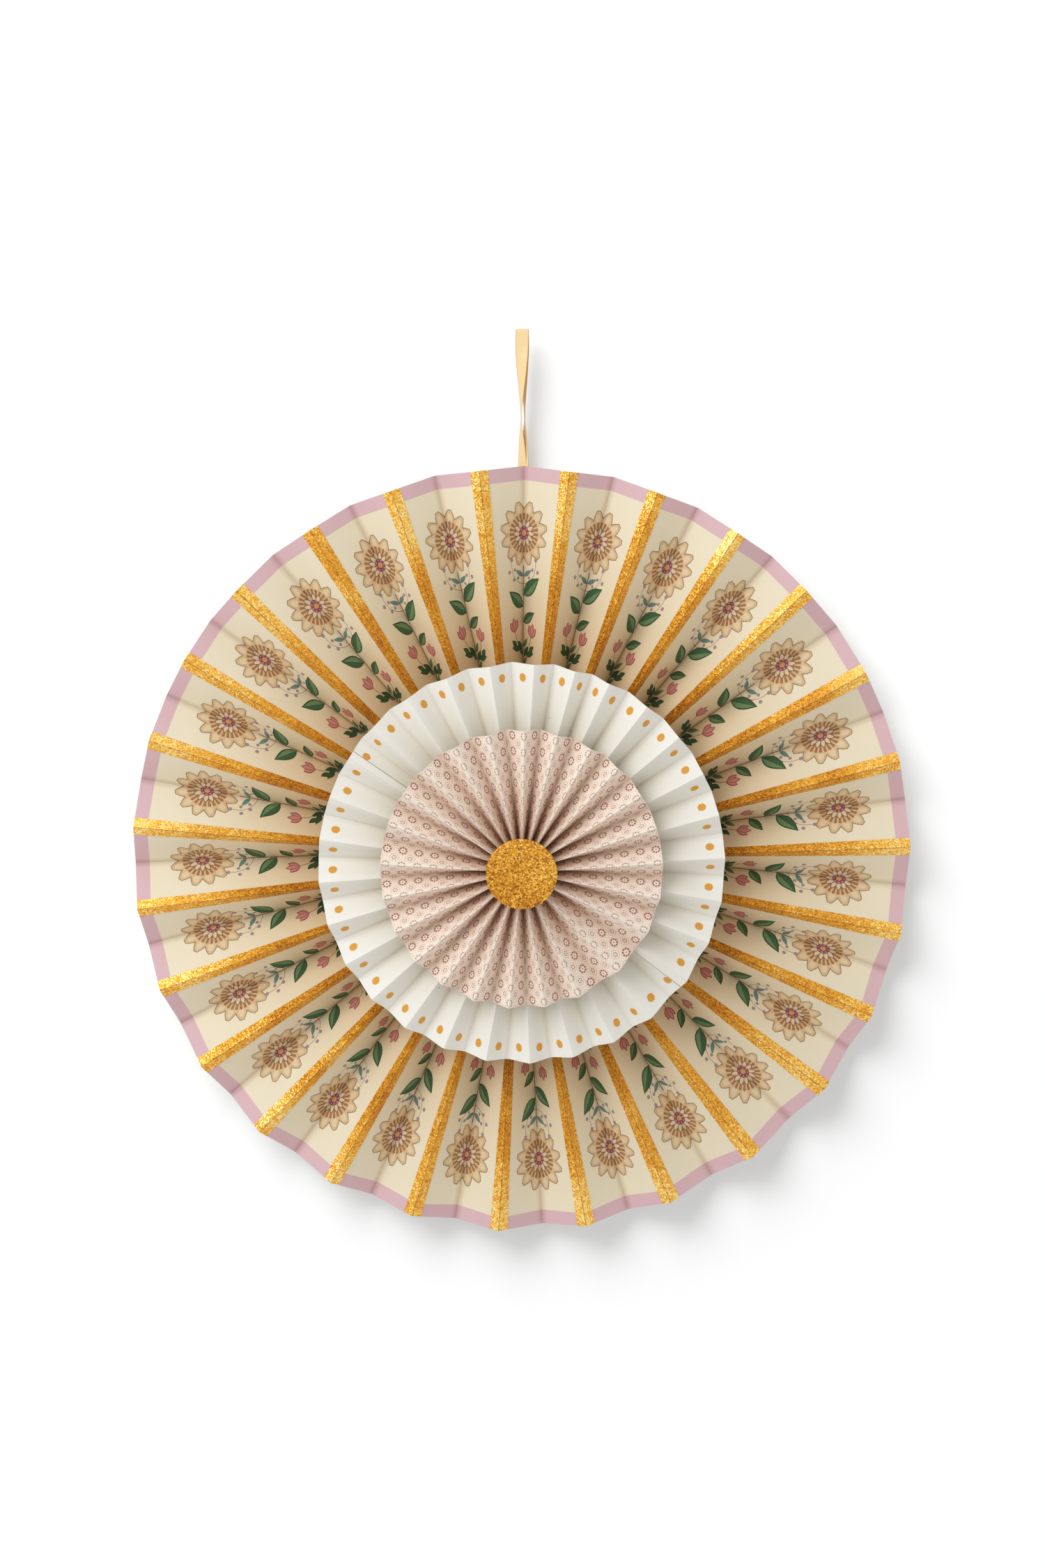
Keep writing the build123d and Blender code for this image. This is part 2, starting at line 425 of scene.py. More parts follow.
@dataclass(frozen=True)
class Ring:
    """Drawn ring that is broken into petals. Its sizes are shares of a lattice cell."""

    radius: float
    width: float
    petals: int
    petal_share: float

    def drawn(self, a: Number, b: Number, far: Number) -> Number:
        """Draw it.

        Args:
            a: Place across, from its middle.
            b: Place outwards, from its middle.
            far: Distance from its middle.

        Returns:
            One on its petals and nought off them.
        """
        line = (far - self.radius).size().under(self.width / 2, 0.03)
        wave = (a.work("ARCTAN2", b) * float(self.petals)).work("COSINE") * -1.0
        return line * wave.under(1.0 - 2.0 * (1.0 - self.petal_share), 0.7)


@dataclass(frozen=True)
class LatticePaper(Paper):
    """Paper printed all over with a small lattice of florets. Sizes of its figures are shares of a cell."""

    line: str = "94411f"
    pale_line: str = "c98a72"
    cell: float = 8.1 * MM
    rows_a_pleat: int = 3
    rosette: Ring = Ring(0.22, 0.105, 8, 0.85)
    collar: Ring = Ring(0.315, 0.035, 16, 0.55)
    eye: float = 0.045
    floret: Ring = Ring(0.13, 0.07, 6, 0.8)
    curls: Ring = Ring(0.265, 0.05, 16, 0.55)
    seed: float = 0.035
    fillings: float = 6.0
    filled_from_rosette: float = 0.34
    filled_from_floret: float = 0.27

    def ground(self, coat: Coat) -> NodeSocket:
        """Ink of the sheet: rosettes, florets between them, and a fine filling of curls.

        Args:
            coat: The material's recipe.

        Returns:
            The printed colour.
        """
        across, outwards = coat.flat_place()
        pitch = 2 * self.panel_width / self.rows_a_pleat

        def lattice(shift: float) -> tuple[Number, Number, Number]:
            """Place from the middle of a cell of the lattice, and the distance from there."""
            a = ((across / pitch + shift).work("FRACT") - 0.5) * (pitch / self.cell)
            b = (outwards / self.cell + shift).work("FRACT") - 0.5
            return a, b, (a * a + b * b).root()

        a, b, far = lattice(0.0)
        c, d, corner = lattice(0.5)
        e, f = (((k * self.fillings + 0.5).work("FRACT") - 0.5) for k in (a + b, a - b))
        filling = (e * e + f * f).root().under(0.25, 0.2)
        for reach, bare in ((far, self.filled_from_rosette), (corner, self.filled_from_floret)):
            filling = filling * (bare - reach).under(0.0, 0.02)
        dark = self.rosette.drawn(a, b, far).most(far.under(self.eye, 0.03))
        dark = dark.most(self.floret.drawn(c, d, corner) * 0.9).most(corner.under(self.seed, 0.03) * 0.7)
        pale = self.collar.drawn(a, b, far).most(self.curls.drawn(c, d, corner))
        tint = coat.blend(pale * 0.85, colour(self.ink), colour(self.pale_line))
        return coat.blend(dark.most(filling * 0.45) * 0.95, tint, colour(self.line))


@dataclass(frozen=True)
class Glitter:
    """Gold glitter: small metal flakes of uneven gold that lie at slightly different tilts."""

    # Its colour also carries broad random spots of painted sheen, and painted light towards the rim where
    # rim_light is set
    name: str
    flake: float = 0.64 * MM
    tilt: float = 0.26
    roughness: float = 0.36
    metallic: float = 0.4
    # Strength of the broad spots of painted sheen
    sheen_patches: float = 0.8
    patch: float = 30 * MM
    cloud: float = 6 * MM
    fold_place: float = 0.0
    fold_line: tuple = (0.22 * MM, 0.2 * MM)
    fold_tint: str = "7a5226"
    # Painted light growing towards the rim, painted shade towards the middle
    rim_light: float = 0.0
    rim_start: float = 95 * MM
    rim_full: float = 190 * MM
    tones: tuple = (
        (0.0, "935008"), (0.2, "c27812"), (0.5, "e29a20"), (0.76, "f6b634"), (0.92, "fed05c"),
        (1.0, "ffe898"),
    )

    def creased(self, coat: Coat, gold: NodeSocket, place: NodeSocket) -> NodeSocket:
        """Darken the line where the strip is folded and its flakes have broken off.

        Args:
            coat: The material's recipe.
            gold: The flakes' colour.
            place: Place on the object.

        Returns:
            The creased colour.
        """
        broken = coat.noise(place, 1.6 * MM, 3.0) * 1.7
        line = (self.fold_place - coat.flat_place()[0].size()).under(*self.fold_line) * broken
        return coat.times(line * 0.75, gold, colour(self.fold_tint))

    def leaning(self, coat: Coat, chance: NodeSocket) -> NodeSocket:
        """Surface direction of the flakes, each leaning its own way by its chance colour.

        Args:
            coat: The material's recipe.
            chance: Each flake's own chance colour.

        Returns:
            The direction.
        """
        turn = coat.step("ShaderNodeVectorMath", {0: chance, 1: (0.5, 0.5, 0.5)}, operation="SUBTRACT")
        lean = coat.step("ShaderNodeVectorMath", {0: turn, "Scale": self.tilt}, operation="SCALE")
        flat = coat.add("ShaderNodeNewGeometry").outputs["Normal"]
        tilted = coat.step("ShaderNodeVectorMath", {0: flat, 1: lean}, operation="ADD")
        return coat.step("ShaderNodeVectorMath", {0: tilted}, operation="NORMALIZE")

    def material(self) -> Material:
        """Make the material."""
        coat = Coat(self.name)
        place = coat.place()
        far, chance = coat.cells(place, self.flake)
        tone, coarse, _ = coat.parts(chance)
        # Painted sheen: broad random spots made lighter and darker
        painted_sheen = (coat.noise(place, self.patch, 1.0) - 0.5) * self.sheen_patches
        lightness = tone * 0.8 + coat.noise(place, self.cloud) * 0.28 + painted_sheen - 0.04
        # Painted light towards the rim and painted shade towards the middle
        if self.rim_light:
            reach = (coat.flat_place()[1] - self.rim_start) / (self.rim_full - self.rim_start)
            lightness = lightness + (reach.held() - 0.45) * self.rim_light
        gold = coat.spread(lightness.held(), self.tones)
        if self.fold_place:
            gold = self.creased(coat, gold, place)
        edges = coat.bump(far, 0.08 * MM, self.leaning(coat, chance))
        rough = coarse * 0.2 + (self.roughness - 0.1)
        return coat.set(Base_Color=gold, Normal=edges, Roughness=rough, Metallic=self.metallic)


@dataclass(frozen=True)
class Satin:
    """Satin ribbon with fine ribs across it and a firm edge."""

    name: str
    face: str
    edge: str
    rib: float = 0.32 * MM

    def material(self) -> Material:
        """Make the material."""
        coat = Coat(self.name)
        place = coat.place()
        across, along = coat.map_place()
        ribs = (along * (MAP_UNIT / self.rib * 2 * math.pi)).work("SINE") * 0.5 + 0.5
        threads = coat.noise(place, 0.25 * MM, 2.0)
        selvedge = (1.0 - across.size()).under(0.1, 0.06)
        shade = coat.noise(place, 8 * MM, 2.0)
        tint = coat.blend(selvedge * 0.75, colour(self.face), colour(self.edge))
        tint = coat.bright(tint, (ribs - 0.5) * 0.07 + (threads - 0.5) * 0.08 + (shade - 0.5) * 0.08 + 1.0)
        weave = coat.bump(ribs * 0.7 + threads * 0.3, 0.04 * MM)
        return coat.set(
            Base_Color=tint, Normal=weave, Roughness=0.38, Sheen_Weight=0.25, Sheen_Roughness=0.35,
        )


class Weave(Enum):
    """Surface of a hidden piece."""

    CARD = "card"
    FOAM = "foam"
    GLUE = "glue"
    THREAD = "thread"


@dataclass(frozen=True)
class PlainFinish:
    """Finish of a piece behind or between the fans."""

    name: str
    tint: str
    weave: Weave
    roughness: float

    def relief(self, coat: Coat, place: NodeSocket) -> tuple[Number, float]:
        """Relief of the surface and its depth.

        Args:
            coat: The material's recipe.
            place: Place on the object.

        Returns:
            The relief's height from nought to one, and its full depth.
        """
        if self.weave is Weave.FOAM:
            return coat.cells(place, 0.6 * MM)[0], 0.18 * MM
        if self.weave is Weave.THREAD:
            inputs = {"Vector": place, "Scale": 1 / (1.6 * MM), "Distortion": 1.5, "Detail": 1.0}
            twist = coat.add("ShaderNodeTexWave", inputs, bands_direction="DIAGONAL")
            return coat.number(twist.outputs["Fac"]), 0.2 * MM
        if self.weave is Weave.GLUE:
            return coat.noise(place, 3 * MM, 1.0), 0.3 * MM
        return coat.noise(place, 0.6 * MM, 4.0), 0.04 * MM

    def material(self) -> Material:
        """Make the material."""
        coat = Coat(self.name)
        place = coat.place()
        height, depth = self.relief(coat, place)
        clouds = coat.noise(place, 7 * MM, 3.0)
        gain = (clouds - 0.5) * 0.12 + (height - 0.5) * 0.1 + 1.0
        tint = coat.bright(colour(self.tint), gain)
        return coat.set(Base_Color=tint, Normal=coat.bump(height, depth), Roughness=self.roughness)


def span(first: float, last: float, count: int) -> list[float]:
    """Even steps from the first value to the last."""
    return [first + (last - first) * k / count for k in range(count + 1)]


def placed(outline: Outline, base: Spot, turn: float) -> Outline:
    """Turn an outline clockwise by degrees and move it to its base."""
    c, s = math.cos(math.radians(turn)), math.sin(math.radians(turn))
    return [(base[0] + x * c + y * s, base[1] - x * s + y * c) for x, y in outline]


def oval(centre: Spot, length: float, width: float, count: int) -> Outline:
    """Oval outline.

    Args:
        centre: Its middle, across and outwards.
        length: Its size outwards.
        width: Its size across.
        count: Points round it.

    Returns:
        The outline's points.
    """
    angles = [2 * math.pi * k / count for k in range(count)]
    return placed([(width / 2 * math.cos(a), length / 2 * math.sin(a)) for a in angles], centre, 0.0)


def bead(centre: Spot, size: float, count: int) -> Outline:
    """Round outline."""
    return oval(centre, size, size, count)


def bar(near: float, far: float, foot: float, tip: float) -> Outline:
    """Bar along the fold, from near to far, with half its width at its foot and at its tip."""
    return [(foot, near), (tip, far), (-tip, far), (-foot, near)]


def leaf(base: Spot, length: float, width: float, turn: float, fullness: float = 0.8) -> Outline:
    """Leaf outline, pointed at both ends.

    Args:
        base: Where it grows from.
        length: From base to tip.
        width: At its widest.
        turn: Degrees from the outward direction, clockwise.
        fullness: Nearness of its widest place to the base, one being even.

    Returns:
        The outline's points.
    """
    half = [(width / 2 * math.sin(math.pi * t**fullness), length * t) for t in span(0, 1, 7)]
    return placed(half + [(-x, y) for x, y in half[-2:0:-1]], base, turn)


def petal(base: Spot, length: float, width: float, turn: float) -> Outline:
    """Petal outline, narrow at its base and round at its tip.

    Args:
        base: Where it grows from.
        length: From base to tip.
        width: At its widest.
        turn: Degrees from the outward direction, clockwise.

    Returns:
        The outline's points.
    """
    half = [(width / 2 * math.sin(math.pi * t**1.5) ** 0.7, length * t) for t in span(0, 1, 7)[1:-1]]
    half = [(0.12 * width, 0.0), *half, (0.16 * width, length)]
    return placed(half + [(-x, y) for x, y in reversed(half)], base, turn)


def stalk(line: Sequence[Spot], width: float) -> Outline:
    """Thin stalk along a bent line through three places.

    Args:
        line: Its start, its bend and its end.
        width: Its width.

    Returns:
        The outline's points.
    """
    start, bend, end = (Vector(p) for p in line)
    middle = [start * (1 - t) ** 2 + bend * 2 * t * (1 - t) + end * t**2 for t in span(0, 1, 6)]
    left, right = [], []
    for here, there in zip(middle, middle[1:] + [2 * middle[-1] - middle[-2]]):
        ahead = (there - here).normalized()
        side = Vector((ahead.y, -ahead.x)) * width / 2
        left.append(tuple(here - side))
        right.append(tuple(here + side))
    return right + left[::-1]


class Ink(Enum):
    """Inks of the outer fan's sheet, in the order of their numbers on the flat cut."""

    CREAM = "eee4ca"
    ROSE = "ddbac0"
    PETAL = "dabd93"
    PETAL_LIGHT = "e5d0ab"
    TAN = "9d8767"
    MAUVE = "93566a"
    YOLK = "e3b86a"
    TEAL = "6f918e"
    GREEN = "3f6546"
    GREEN_LIGHT = "6f9168"
    GREEN_DARK = "2f4f38"
    RAY = "a8774f"
    STEM = "8c6e54"
    PINK = "d79c9c"
    PINK_DARK = "a85c62"
    LILAC = "9f8fae"


@dataclass
class FlowerSpray:
    """Generic flower spray, printed astride each back fold. Its sizes are in millimetres on the flat sheet.

    Leaves are given by the place or reach of their foot, their turn and their length, and berries by their
    place across and outwards and their size.
    """

    flower_place: float = 165.5
    flower_radius: float = 16.4
    petals: int = 12
    heart: float = 7.2
    heart_beads: int = 8
    stem_foot: float = 62.0
    stem_half: float = 0.3
    stem_leaves: tuple = ((133.0, 50, 16.5), (127.0, -52, 15.5), (119.0, 58, 12.0))
    berry_stalk: tuple = ((0.3, 139.0), (10.5, 141.0), (9.5, 151.5))
    berries: tuple = (
        (4.6, 142.6, 1.5), (7.9, 142.0, 1.7), (7.2, 147.0, 1.5), (11.4, 146.2, 1.8), (9.5, 152.3, 1.9),
    )
    tulip_heads: tuple = ((1, 112.5), (-1, 115.5))
    tulip_petals: tuple = ((-30, 7.4), (30, 7.4), (0, 8.2))
    tulip_leaves: tuple = ((3.2, 78, 9.0), (1.0, 40, 7.5), (6.6, 52, 6.5))
    foot_leaves: tuple = ((106.0, 40), (102.0, -40), (97.0, 44), (92.0, -44), (86.0, 44))
    prints: list[tuple[Ink, Outline]] = field(default_factory=list)

    def ink(self, ink: Ink, outline: Outline) -> None:
        """Print one field over what is there."""
        self.prints.append((ink, outline))

    def flower(self) -> None:
        """Daisy with a double row of petals and a beaded heart."""
        centre, reach = (0.0, self.flower_place), self.flower_radius
        turns = [360 * (k + 0.5) / self.petals for k in range(self.petals)]
        for turn in turns:
            self.ink(Ink.TAN, petal(centre, reach + 0.45, 7.3, turn))
        for turn in turns:
            self.ink(Ink.PETAL, petal(centre, reach - 0.1, 6.2, turn))
            self.ink(Ink.PETAL_LIGHT, placed(oval((0, 0.74 * reach), 0.34 * reach, 3.3, 10), centre, turn))
        for turn in turns:
            self.ink(Ink.STEM, placed(bar(0.3 * reach, 0.66 * reach, 0.16, 0.16), centre, turn))
        self.ink(Ink.RAY, bead(centre, 1.26 * reach, 24))
        for k in range(2 * self.petals):
            turn = 360 * (k + 0.5) / 2 / self.petals
            self.ink(Ink.PETAL, placed(bar(0.2 * reach, 0.66 * reach, 0.3, 0.5), centre, turn))
        for k in range(self.petals):
            turn = 360 * k / self.petals
            self.ink(Ink.STEM, petal(centre, 0.47 * reach, 3.2, turn))
            self.ink(Ink.PETAL_LIGHT, petal(centre, 0.43 * reach, 2.2, turn))
        self.ink(Ink.MAUVE, bead(centre, self.heart, 18))
        for k in range(self.heart_beads):
            self.ink(Ink.PINK, placed(bead((0, 2.7), 1.1, 6), centre, 360 * k / self.heart_beads))
        self.ink(Ink.YOLK, bead(centre, 3.2, 12))

    def stem(self) -> None:
        """Straight stem along the fold, with leaves that take turns on its two sides."""
        top = self.flower_place - self.flower_radius - 0.5
        self.ink(Ink.STEM, bar(self.stem_foot, top, self.stem_half, self.stem_half))
        for place, turn, length in self.stem_leaves:
            foot = (math.copysign(self.stem_half, turn), place)
            self.ink(Ink.GREEN_DARK, leaf(foot, length, 0.46 * length, turn))
            self.ink(Ink.GREEN, leaf(foot, length - 0.9, 0.38 * length, turn))
            wide = [(0.17 * length, 0.3 * length), (0.16 * length, 0.55 * length)]
            self.ink(Ink.GREEN_LIGHT, placed([(0.15, 0.6), *wide, (0.12, length - 1.6)], foot, turn))

    def buds(self) -> None:
        """Arcs of lilac berries below the flower."""
        for side in (1, -1):
            self.ink(Ink.TAN, stalk([(across * side, out) for across, out in self.berry_stalk], 0.34))
            for across, out, size in self.berries:
                self.ink(Ink.TAN, bead((across * side, out), size + 0.4, 8))
                self.ink(Ink.LILAC, bead((across * side, out), size, 8))

    def tulips(self) -> None:
        """Pink tulips on bent stalks, at unlike heights."""
        for side, out in self.tulip_heads:
            head = (8.4 * side, out - 1)
            line = [(0.3 * side, out - 12), (6.0 * side, out - 9), (8.2 * side, out - 1)]
            self.ink(Ink.STEM, stalk(line, 0.42))
            for turn, length in self.tulip_petals:
                self.ink(Ink.PINK_DARK, leaf(head, length, 3.8, turn + 9 * side, 1.2))
                self.ink(Ink.PINK, leaf((head[0], head[1] + 0.5), length - 1.2, 2.6, turn + 9 * side, 1.2))
            for reach, turn, length in self.tulip_leaves:
                foot = (reach * side, out - 11.5 + 0.45 * reach)
                self.ink(Ink.GREEN_DARK, leaf(foot, length, 3.4, turn * side))
                self.ink(Ink.GREEN, leaf(foot, length - 0.8, 2.5, turn * side))

    def foot(self) -> None:
        """Small teal and green leaves where the spray starts, and a teal pair under the flower."""
        for place, turn in self.foot_leaves:
            start = (math.copysign(self.stem_half, turn), place)
            self.ink(Ink.GREEN_LIGHT if turn > 0 else Ink.TEAL, leaf(start, 7.0, 2.8, turn))
        for side in (1, -1):
            self.ink(Ink.TEAL, leaf((self.stem_half * side, 143.0), 7.4, 2.6, 58 * side))

    def fields(self) -> list[tuple[int, Outline]]:
        """All fields of print, by the ink's number, lowest layer first."""
        for layer in (self.foot, self.buds, self.tulips, self.stem, self.flower):
            layer()
        numbers = {ink: number for number, ink in enumerate(Ink)}
        return [(numbers[ink], outline) for ink, outline in self.prints]


@dataclass
class Pleats:
    """Folds, depth and place of one fan, read from its solid."""

    node: str
    radius: float = 0.0
    bore: float = 0.0
    panel_width: float = 0.0
    middle: float = 0.0
    slope: float = 0.0
    thickness: float = 0.3 * MM
    same_reach: float = 0.01 * MM
    folds: list[float] = field(default_factory=list)

    def __post_init__(self) -> None:
        """Read the rim and the bore from the solid's corners."""
        corners = [v.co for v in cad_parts[self.node].data.vertices]
        reaches = [math.hypot(p.x, p.z) for p in corners]
        self.radius = max(reaches)
        rim = [p for p, reach in zip(corners, reaches) if reach > self.radius - self.same_reach]
        low, high = min(p.y for p in rim), max(p.y for p in rim)
        depth = high - low
        front = {round(math.atan2(p.z, p.x), 4) for p in rim if p.y < low + depth / 4}
        self.folds = sorted(front, reverse=True)
        count = len(self.folds)
        rings = Counter(round(reach, 5) for reach in reaches)
        self.bore = min(reach for reach, uses in rings.items() if uses >= 2 * count)
        chord = 2 * self.radius * math.sin(math.pi / count / 2)
        self.panel_width = math.hypot(chord, depth)
        nearest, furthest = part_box(self.node)
        self.middle = (nearest.y + furthest.y) / 2
        self.slope = ((low + high) / 2 - self.middle) / self.radius

    def flat(self) -> tuple[float, float, float]:
        """Width of a panel, and place of the waist and of the rim, on the flat sheet in millimetres."""
        return self.panel_width / MM, self.bore / MM, self.radius / MM

    def trough_at(self, clock: float) -> int:
        """Number of the trough that lies at a clock angle, in degrees from the top.

        Args:
            clock: The clock angle.

        Returns:
            The trough's number.
        """
        angle = math.radians(90 - clock)
        turned = [abs((middle - angle + math.pi) % (2 * math.pi) - math.pi) for middle, _ in self.troughs()]
        return turned.index(min(turned))

    def troughs(self) -> list[tuple[float, float]]:
        """Middle angle and half span of each trough, going clockwise."""
        result = []
        for left, right in zip(self.folds, self.folds[1:] + self.folds[:1]):
            half = (left - right) % (2 * math.pi) / 2
            result.append((left - half, half))
        return result


def covers(outline: Outline, x: float, y: float) -> bool:
    """Whether an outline goes round a place.

    Args:
        outline: A closed outline.
        x: The place, across.
        y: The place, outwards.

    Returns:
        True where it does.
    """
    inside = False
    for (x1, y1), (x2, y2) in zip(outline, [*outline[1:], outline[0]]):
        if (y1 > y) != (y2 > y) and x < x1 + (x2 - x1) * (y - y1) / (y2 - y1):
            inside = not inside
    return inside


def reach_of(outline: Outline) -> tuple[float, float, float, float]:
    """Least and greatest places of an outline, across and then outwards."""
    across, outwards = zip(*outline)
    return min(across), max(across), min(outwards), max(outwards)


def numbered(outlines: Sequence[Outline]) -> tuple[list[Vector], list[list[int]]]:
    """All points of some outlines in one list, and the numbers of each outline's own.

    Args:
        outlines: Closed outlines.

    Returns:
        The points, and each outline's numbers.
    """
    points: list[Vector] = []
    loops: list[list[int]] = []
    for outline in outlines:
        loops.append(list(range(len(points), len(points) + len(outline))))
        points += [Vector(p) for p in outline]
    return points, loops


@dataclass
class FlatCut:
    """One flat piece of paper with its fields of print, in millimetres across and outwards."""

    name: str
    outlines: list[Outline]
    fields: list[tuple[int, Outline]] = field(default_factory=list)
    columns: list[float] = field(default_factory=list)
    rows: list[float] = field(default_factory=list)
    least_bend: float = 0.01

    def inside(self, column: float) -> bool:
        """Whether a column lies in one of the upright rectangles that are cut."""
        return any(left <= column <= right for left, right, _, _ in map(reach_of, self.outlines))

    def inks(self, places: Sequence[Vector], faces: Sequence[Sequence[int]]) -> list[int]:
        """Number of the ink that shows on each face: the last field printed over its middle.

        Args:
            places: Points of the faces.
            faces: Each face's points, by number.

        Returns:
            One ink number a face.
        """
        layers = [(ink, outline, *reach_of(outline)) for ink, outline in reversed(self.fields)]
        found = []
        for face in faces:
            x, y = sum((places[k] for k in face), Vector((0, 0))) / len(face)
            over = (
                ink
                for ink, outline, left, right, low, high in layers
                if left < x < right and low < y < high and covers(outline, x, y)
            )
            found.append(next(over, 0))
        return found

    def seen_edges(self) -> list[tuple[Vector, Vector]]:
        """Edges between unlike inks, in straight runs as long as they can be.

        Returns:
            The two ends of each run.
        """
        points, loops = numbered(self.outlines + [outline for _, outline in self.fields])
        places, _, faces, *_ = delaunay_2d_cdt(points, [], loops, 1, SMALLEST_EDGE)
        sides: dict[tuple[int, int], set[int]] = {}
        for face, ink in zip(faces, self.inks(places, faces)):
            for a, b in zip(face, [*face[1:], face[0]]):
                sides.setdefault((min(a, b), max(a, b)), set()).add(ink)
        near: dict[int, set[int]] = {}
        for (a, b), inks in sides.items():
            if len(inks) == 2:
                near.setdefault(a, set()).add(b)
                near.setdefault(b, set()).add(a)
        for middle in sorted(near):
            if len(near[middle]) != 2:
                continue
            a, b = sorted(near[middle])
            before, after = places[middle] - places[a], places[b] - places[middle]
            bend = self.least_bend * before.length * after.length
            if abs(before.cross(after)) < bend and before.dot(after) > 0:
                near[a] = near[a] - {middle} | {b}
                near[b] = near[b] - {middle} | {a}
                near[middle] = set()
        return [(places[a], places[b]) for a in sorted(near) for b in sorted(near[a]) if a < b]

    def obj(self) -> Object:
        """Cut it into triangles along every visible edge of print and every fold.

        Returns:
            An unlinked flat object with an ink number on each face and the flat place as its print map.
        """
        points, loops = numbered(self.outlines)
        edges: list[tuple[int, int]] = []
        runs = self.seen_edges() if self.fields else []
        columns = [column for column in self.columns if self.inside(column)]
        for run in [*runs, *([Vector((column, row)) for row in self.rows] for column in columns)]:
            first = len(points)
            points += run
            edges += [(first + k, first + k + 1) for k in range(len(run) - 1)]
        places, _, faces, *_ = delaunay_2d_cdt(points, edges, loops, 1, SMALLEST_EDGE)
        mesh = bpy.data.meshes.new(self.name)
        wound = []
        for face in faces:
            a, b, c = (places[k] for k in face)
            wound.append(tuple(face) if (b - a).cross(c - a) > 0 else tuple(reversed(face)))
        mesh.from_pydata([(p.x * MM, p.y * MM, 0.0) for p in places], [], wound)
        inks = mesh.attributes.new("ink", "INT", "FACE")
        inks.data.foreach_set("value", self.inks(places, faces))
        prints = mesh.uv_layers.new(name=PRINT_MAP)
        for loop in mesh.loops:
            place = mesh.vertices[loop.vertex_index].co
            prints.data[loop.index].uv = (place.x / MAP_UNIT, place.y / MAP_UNIT)
        return bpy.data.objects.new(self.name, mesh)


def rectangle(left: float, right: float, near: float, far: float, rows: Sequence[float] = ()) -> Outline:
    """Upright rectangle with a point on both long sides at each row between near and far.

    Args:
        left: Its left side.
        right: Its right side.
        near: Its end near the waist.
        far: Its end near the rim.
        rows: Places outwards where its sides have a point.

    Returns:
        The outline's points.
    """
    between = [row for row in rows if near < row < far]
    up = [(right, row) for row in (near, *between, far)]
    return up + [(left, row) for _, row in reversed(up)]


def linked(name: str, data: ID) -> Object:
    """New object in the scene, over a mesh, curve, lamp or camera."""
    obj = bpy.data.objects.new(name, data)
    bpy.context.scene.collection.objects.link(obj)
    return obj


def plain_mesh(obj: Object, name: str) -> Mesh:
    """Take the mesh that an object's modifiers make, and drop the object.

    Args:
        obj: An object, linked to the scene.
        name: The new mesh's name.

    Returns:
        A mesh with no modifier behind it.
    """
    bpy.context.view_layer.update()
    graph = bpy.context.evaluated_depsgraph_get()
    made = obj.evaluated_get(graph)
    mesh = bpy.data.meshes.new_from_object(made, preserve_all_data_layers=True, depsgraph=graph)
    mesh.name = name
    bpy.data.objects.remove(obj)
    return mesh


def joined(meshes: Sequence[Mesh], name: str) -> Mesh:
    """Join meshes with the same materials into one.

    Args:
        meshes: The meshes, of which the first gives the materials.
        name: The new mesh's name.

    Returns:
        One mesh.
    """
    build = bmesh.new()
    for mesh in meshes:
        build.from_mesh(mesh)
    result = meshes[0].copy()
    build.to_mesh(result)
    build.free()
    result.name = name
    return result


def skin(build: bmesh.types.BMesh, rings: Sequence[list[bmesh.types.BMVert]]) -> None:
    """Wall in a row of rings of points, where a ring of one point is a pole.

    Args:
        build: The mesh under construction.
        rings: The rings, in order.
    """
    for here, there in zip(rings, rings[1:]):
        for k in range(max(len(here), len(there))):
            places = ((here, k), (here, k + 1), (there, k + 1), (there, k))
            build.faces.new(list(dict.fromkeys(ring[number % len(ring)] for ring, number in places)))


def finished(build: bmesh.types.BMesh, name: str, *materials: Material, smooth: float | None = None) -> Mesh:
    """Turn a mesh under construction into a finished one, its faces pointing outwards.

    Args:
        build: The mesh under construction.
        name: The finished mesh's name.
        materials: Its materials.
        smooth: Angle in degrees up to which its edges are smooth, or None for a faceted one.

    Returns:
        The finished mesh.
    """
    bmesh.ops.recalc_face_normals(build, faces=build.faces)
    mesh = bpy.data.meshes.new(name)
    build.to_mesh(mesh)
    build.free()
    for material in materials:
        mesh.materials.append(material)
    if smooth:
        mesh.shade_smooth()
        mesh.set_sharp_from_angle(angle=math.radians(smooth))
    return mesh


def new_tree(name: str, inputs: dict[str, str]) -> NodeTree:
    """New Geometry Nodes tree with a geometry in and out, and named inputs by their kinds.

    Args:
        name: The tree's name.
        inputs: Kind of socket by the input's name.

    Returns:
        The tree.
    """
    tree = bpy.data.node_groups.new(name, "GeometryNodeTree")
    for label, kind in {"Geometry": "Geometry", **inputs}.items():
        tree.interface.new_socket(name=label, in_out="INPUT", socket_type="NodeSocket" + kind)
    tree.interface.new_socket(name="Geometry", in_out="OUTPUT", socket_type="NodeSocketGeometry")
    return tree


def grown(mesh: Mesh, name: str, tree: NodeTree, values: dict[str, object]) -> Mesh:
    """Run a Geometry Nodes tree on a mesh.

    Args:
        mesh: The mesh that it starts from.
        name: The new mesh's name.
        tree: The tree.
        values: Values of its named inputs.

    Returns:
        What it makes, as a plain mesh.
    """
    obj = linked(name, mesh)
    modifier = obj.modifiers.new(tree.name, "NODES")
    modifier.node_group = tree
    for item in tree.interface.items_tree:
        if item.in_out == "INPUT" and item.name in values:
            modifier[item.identifier] = values[item.name]
    return plain_mesh(obj, name)


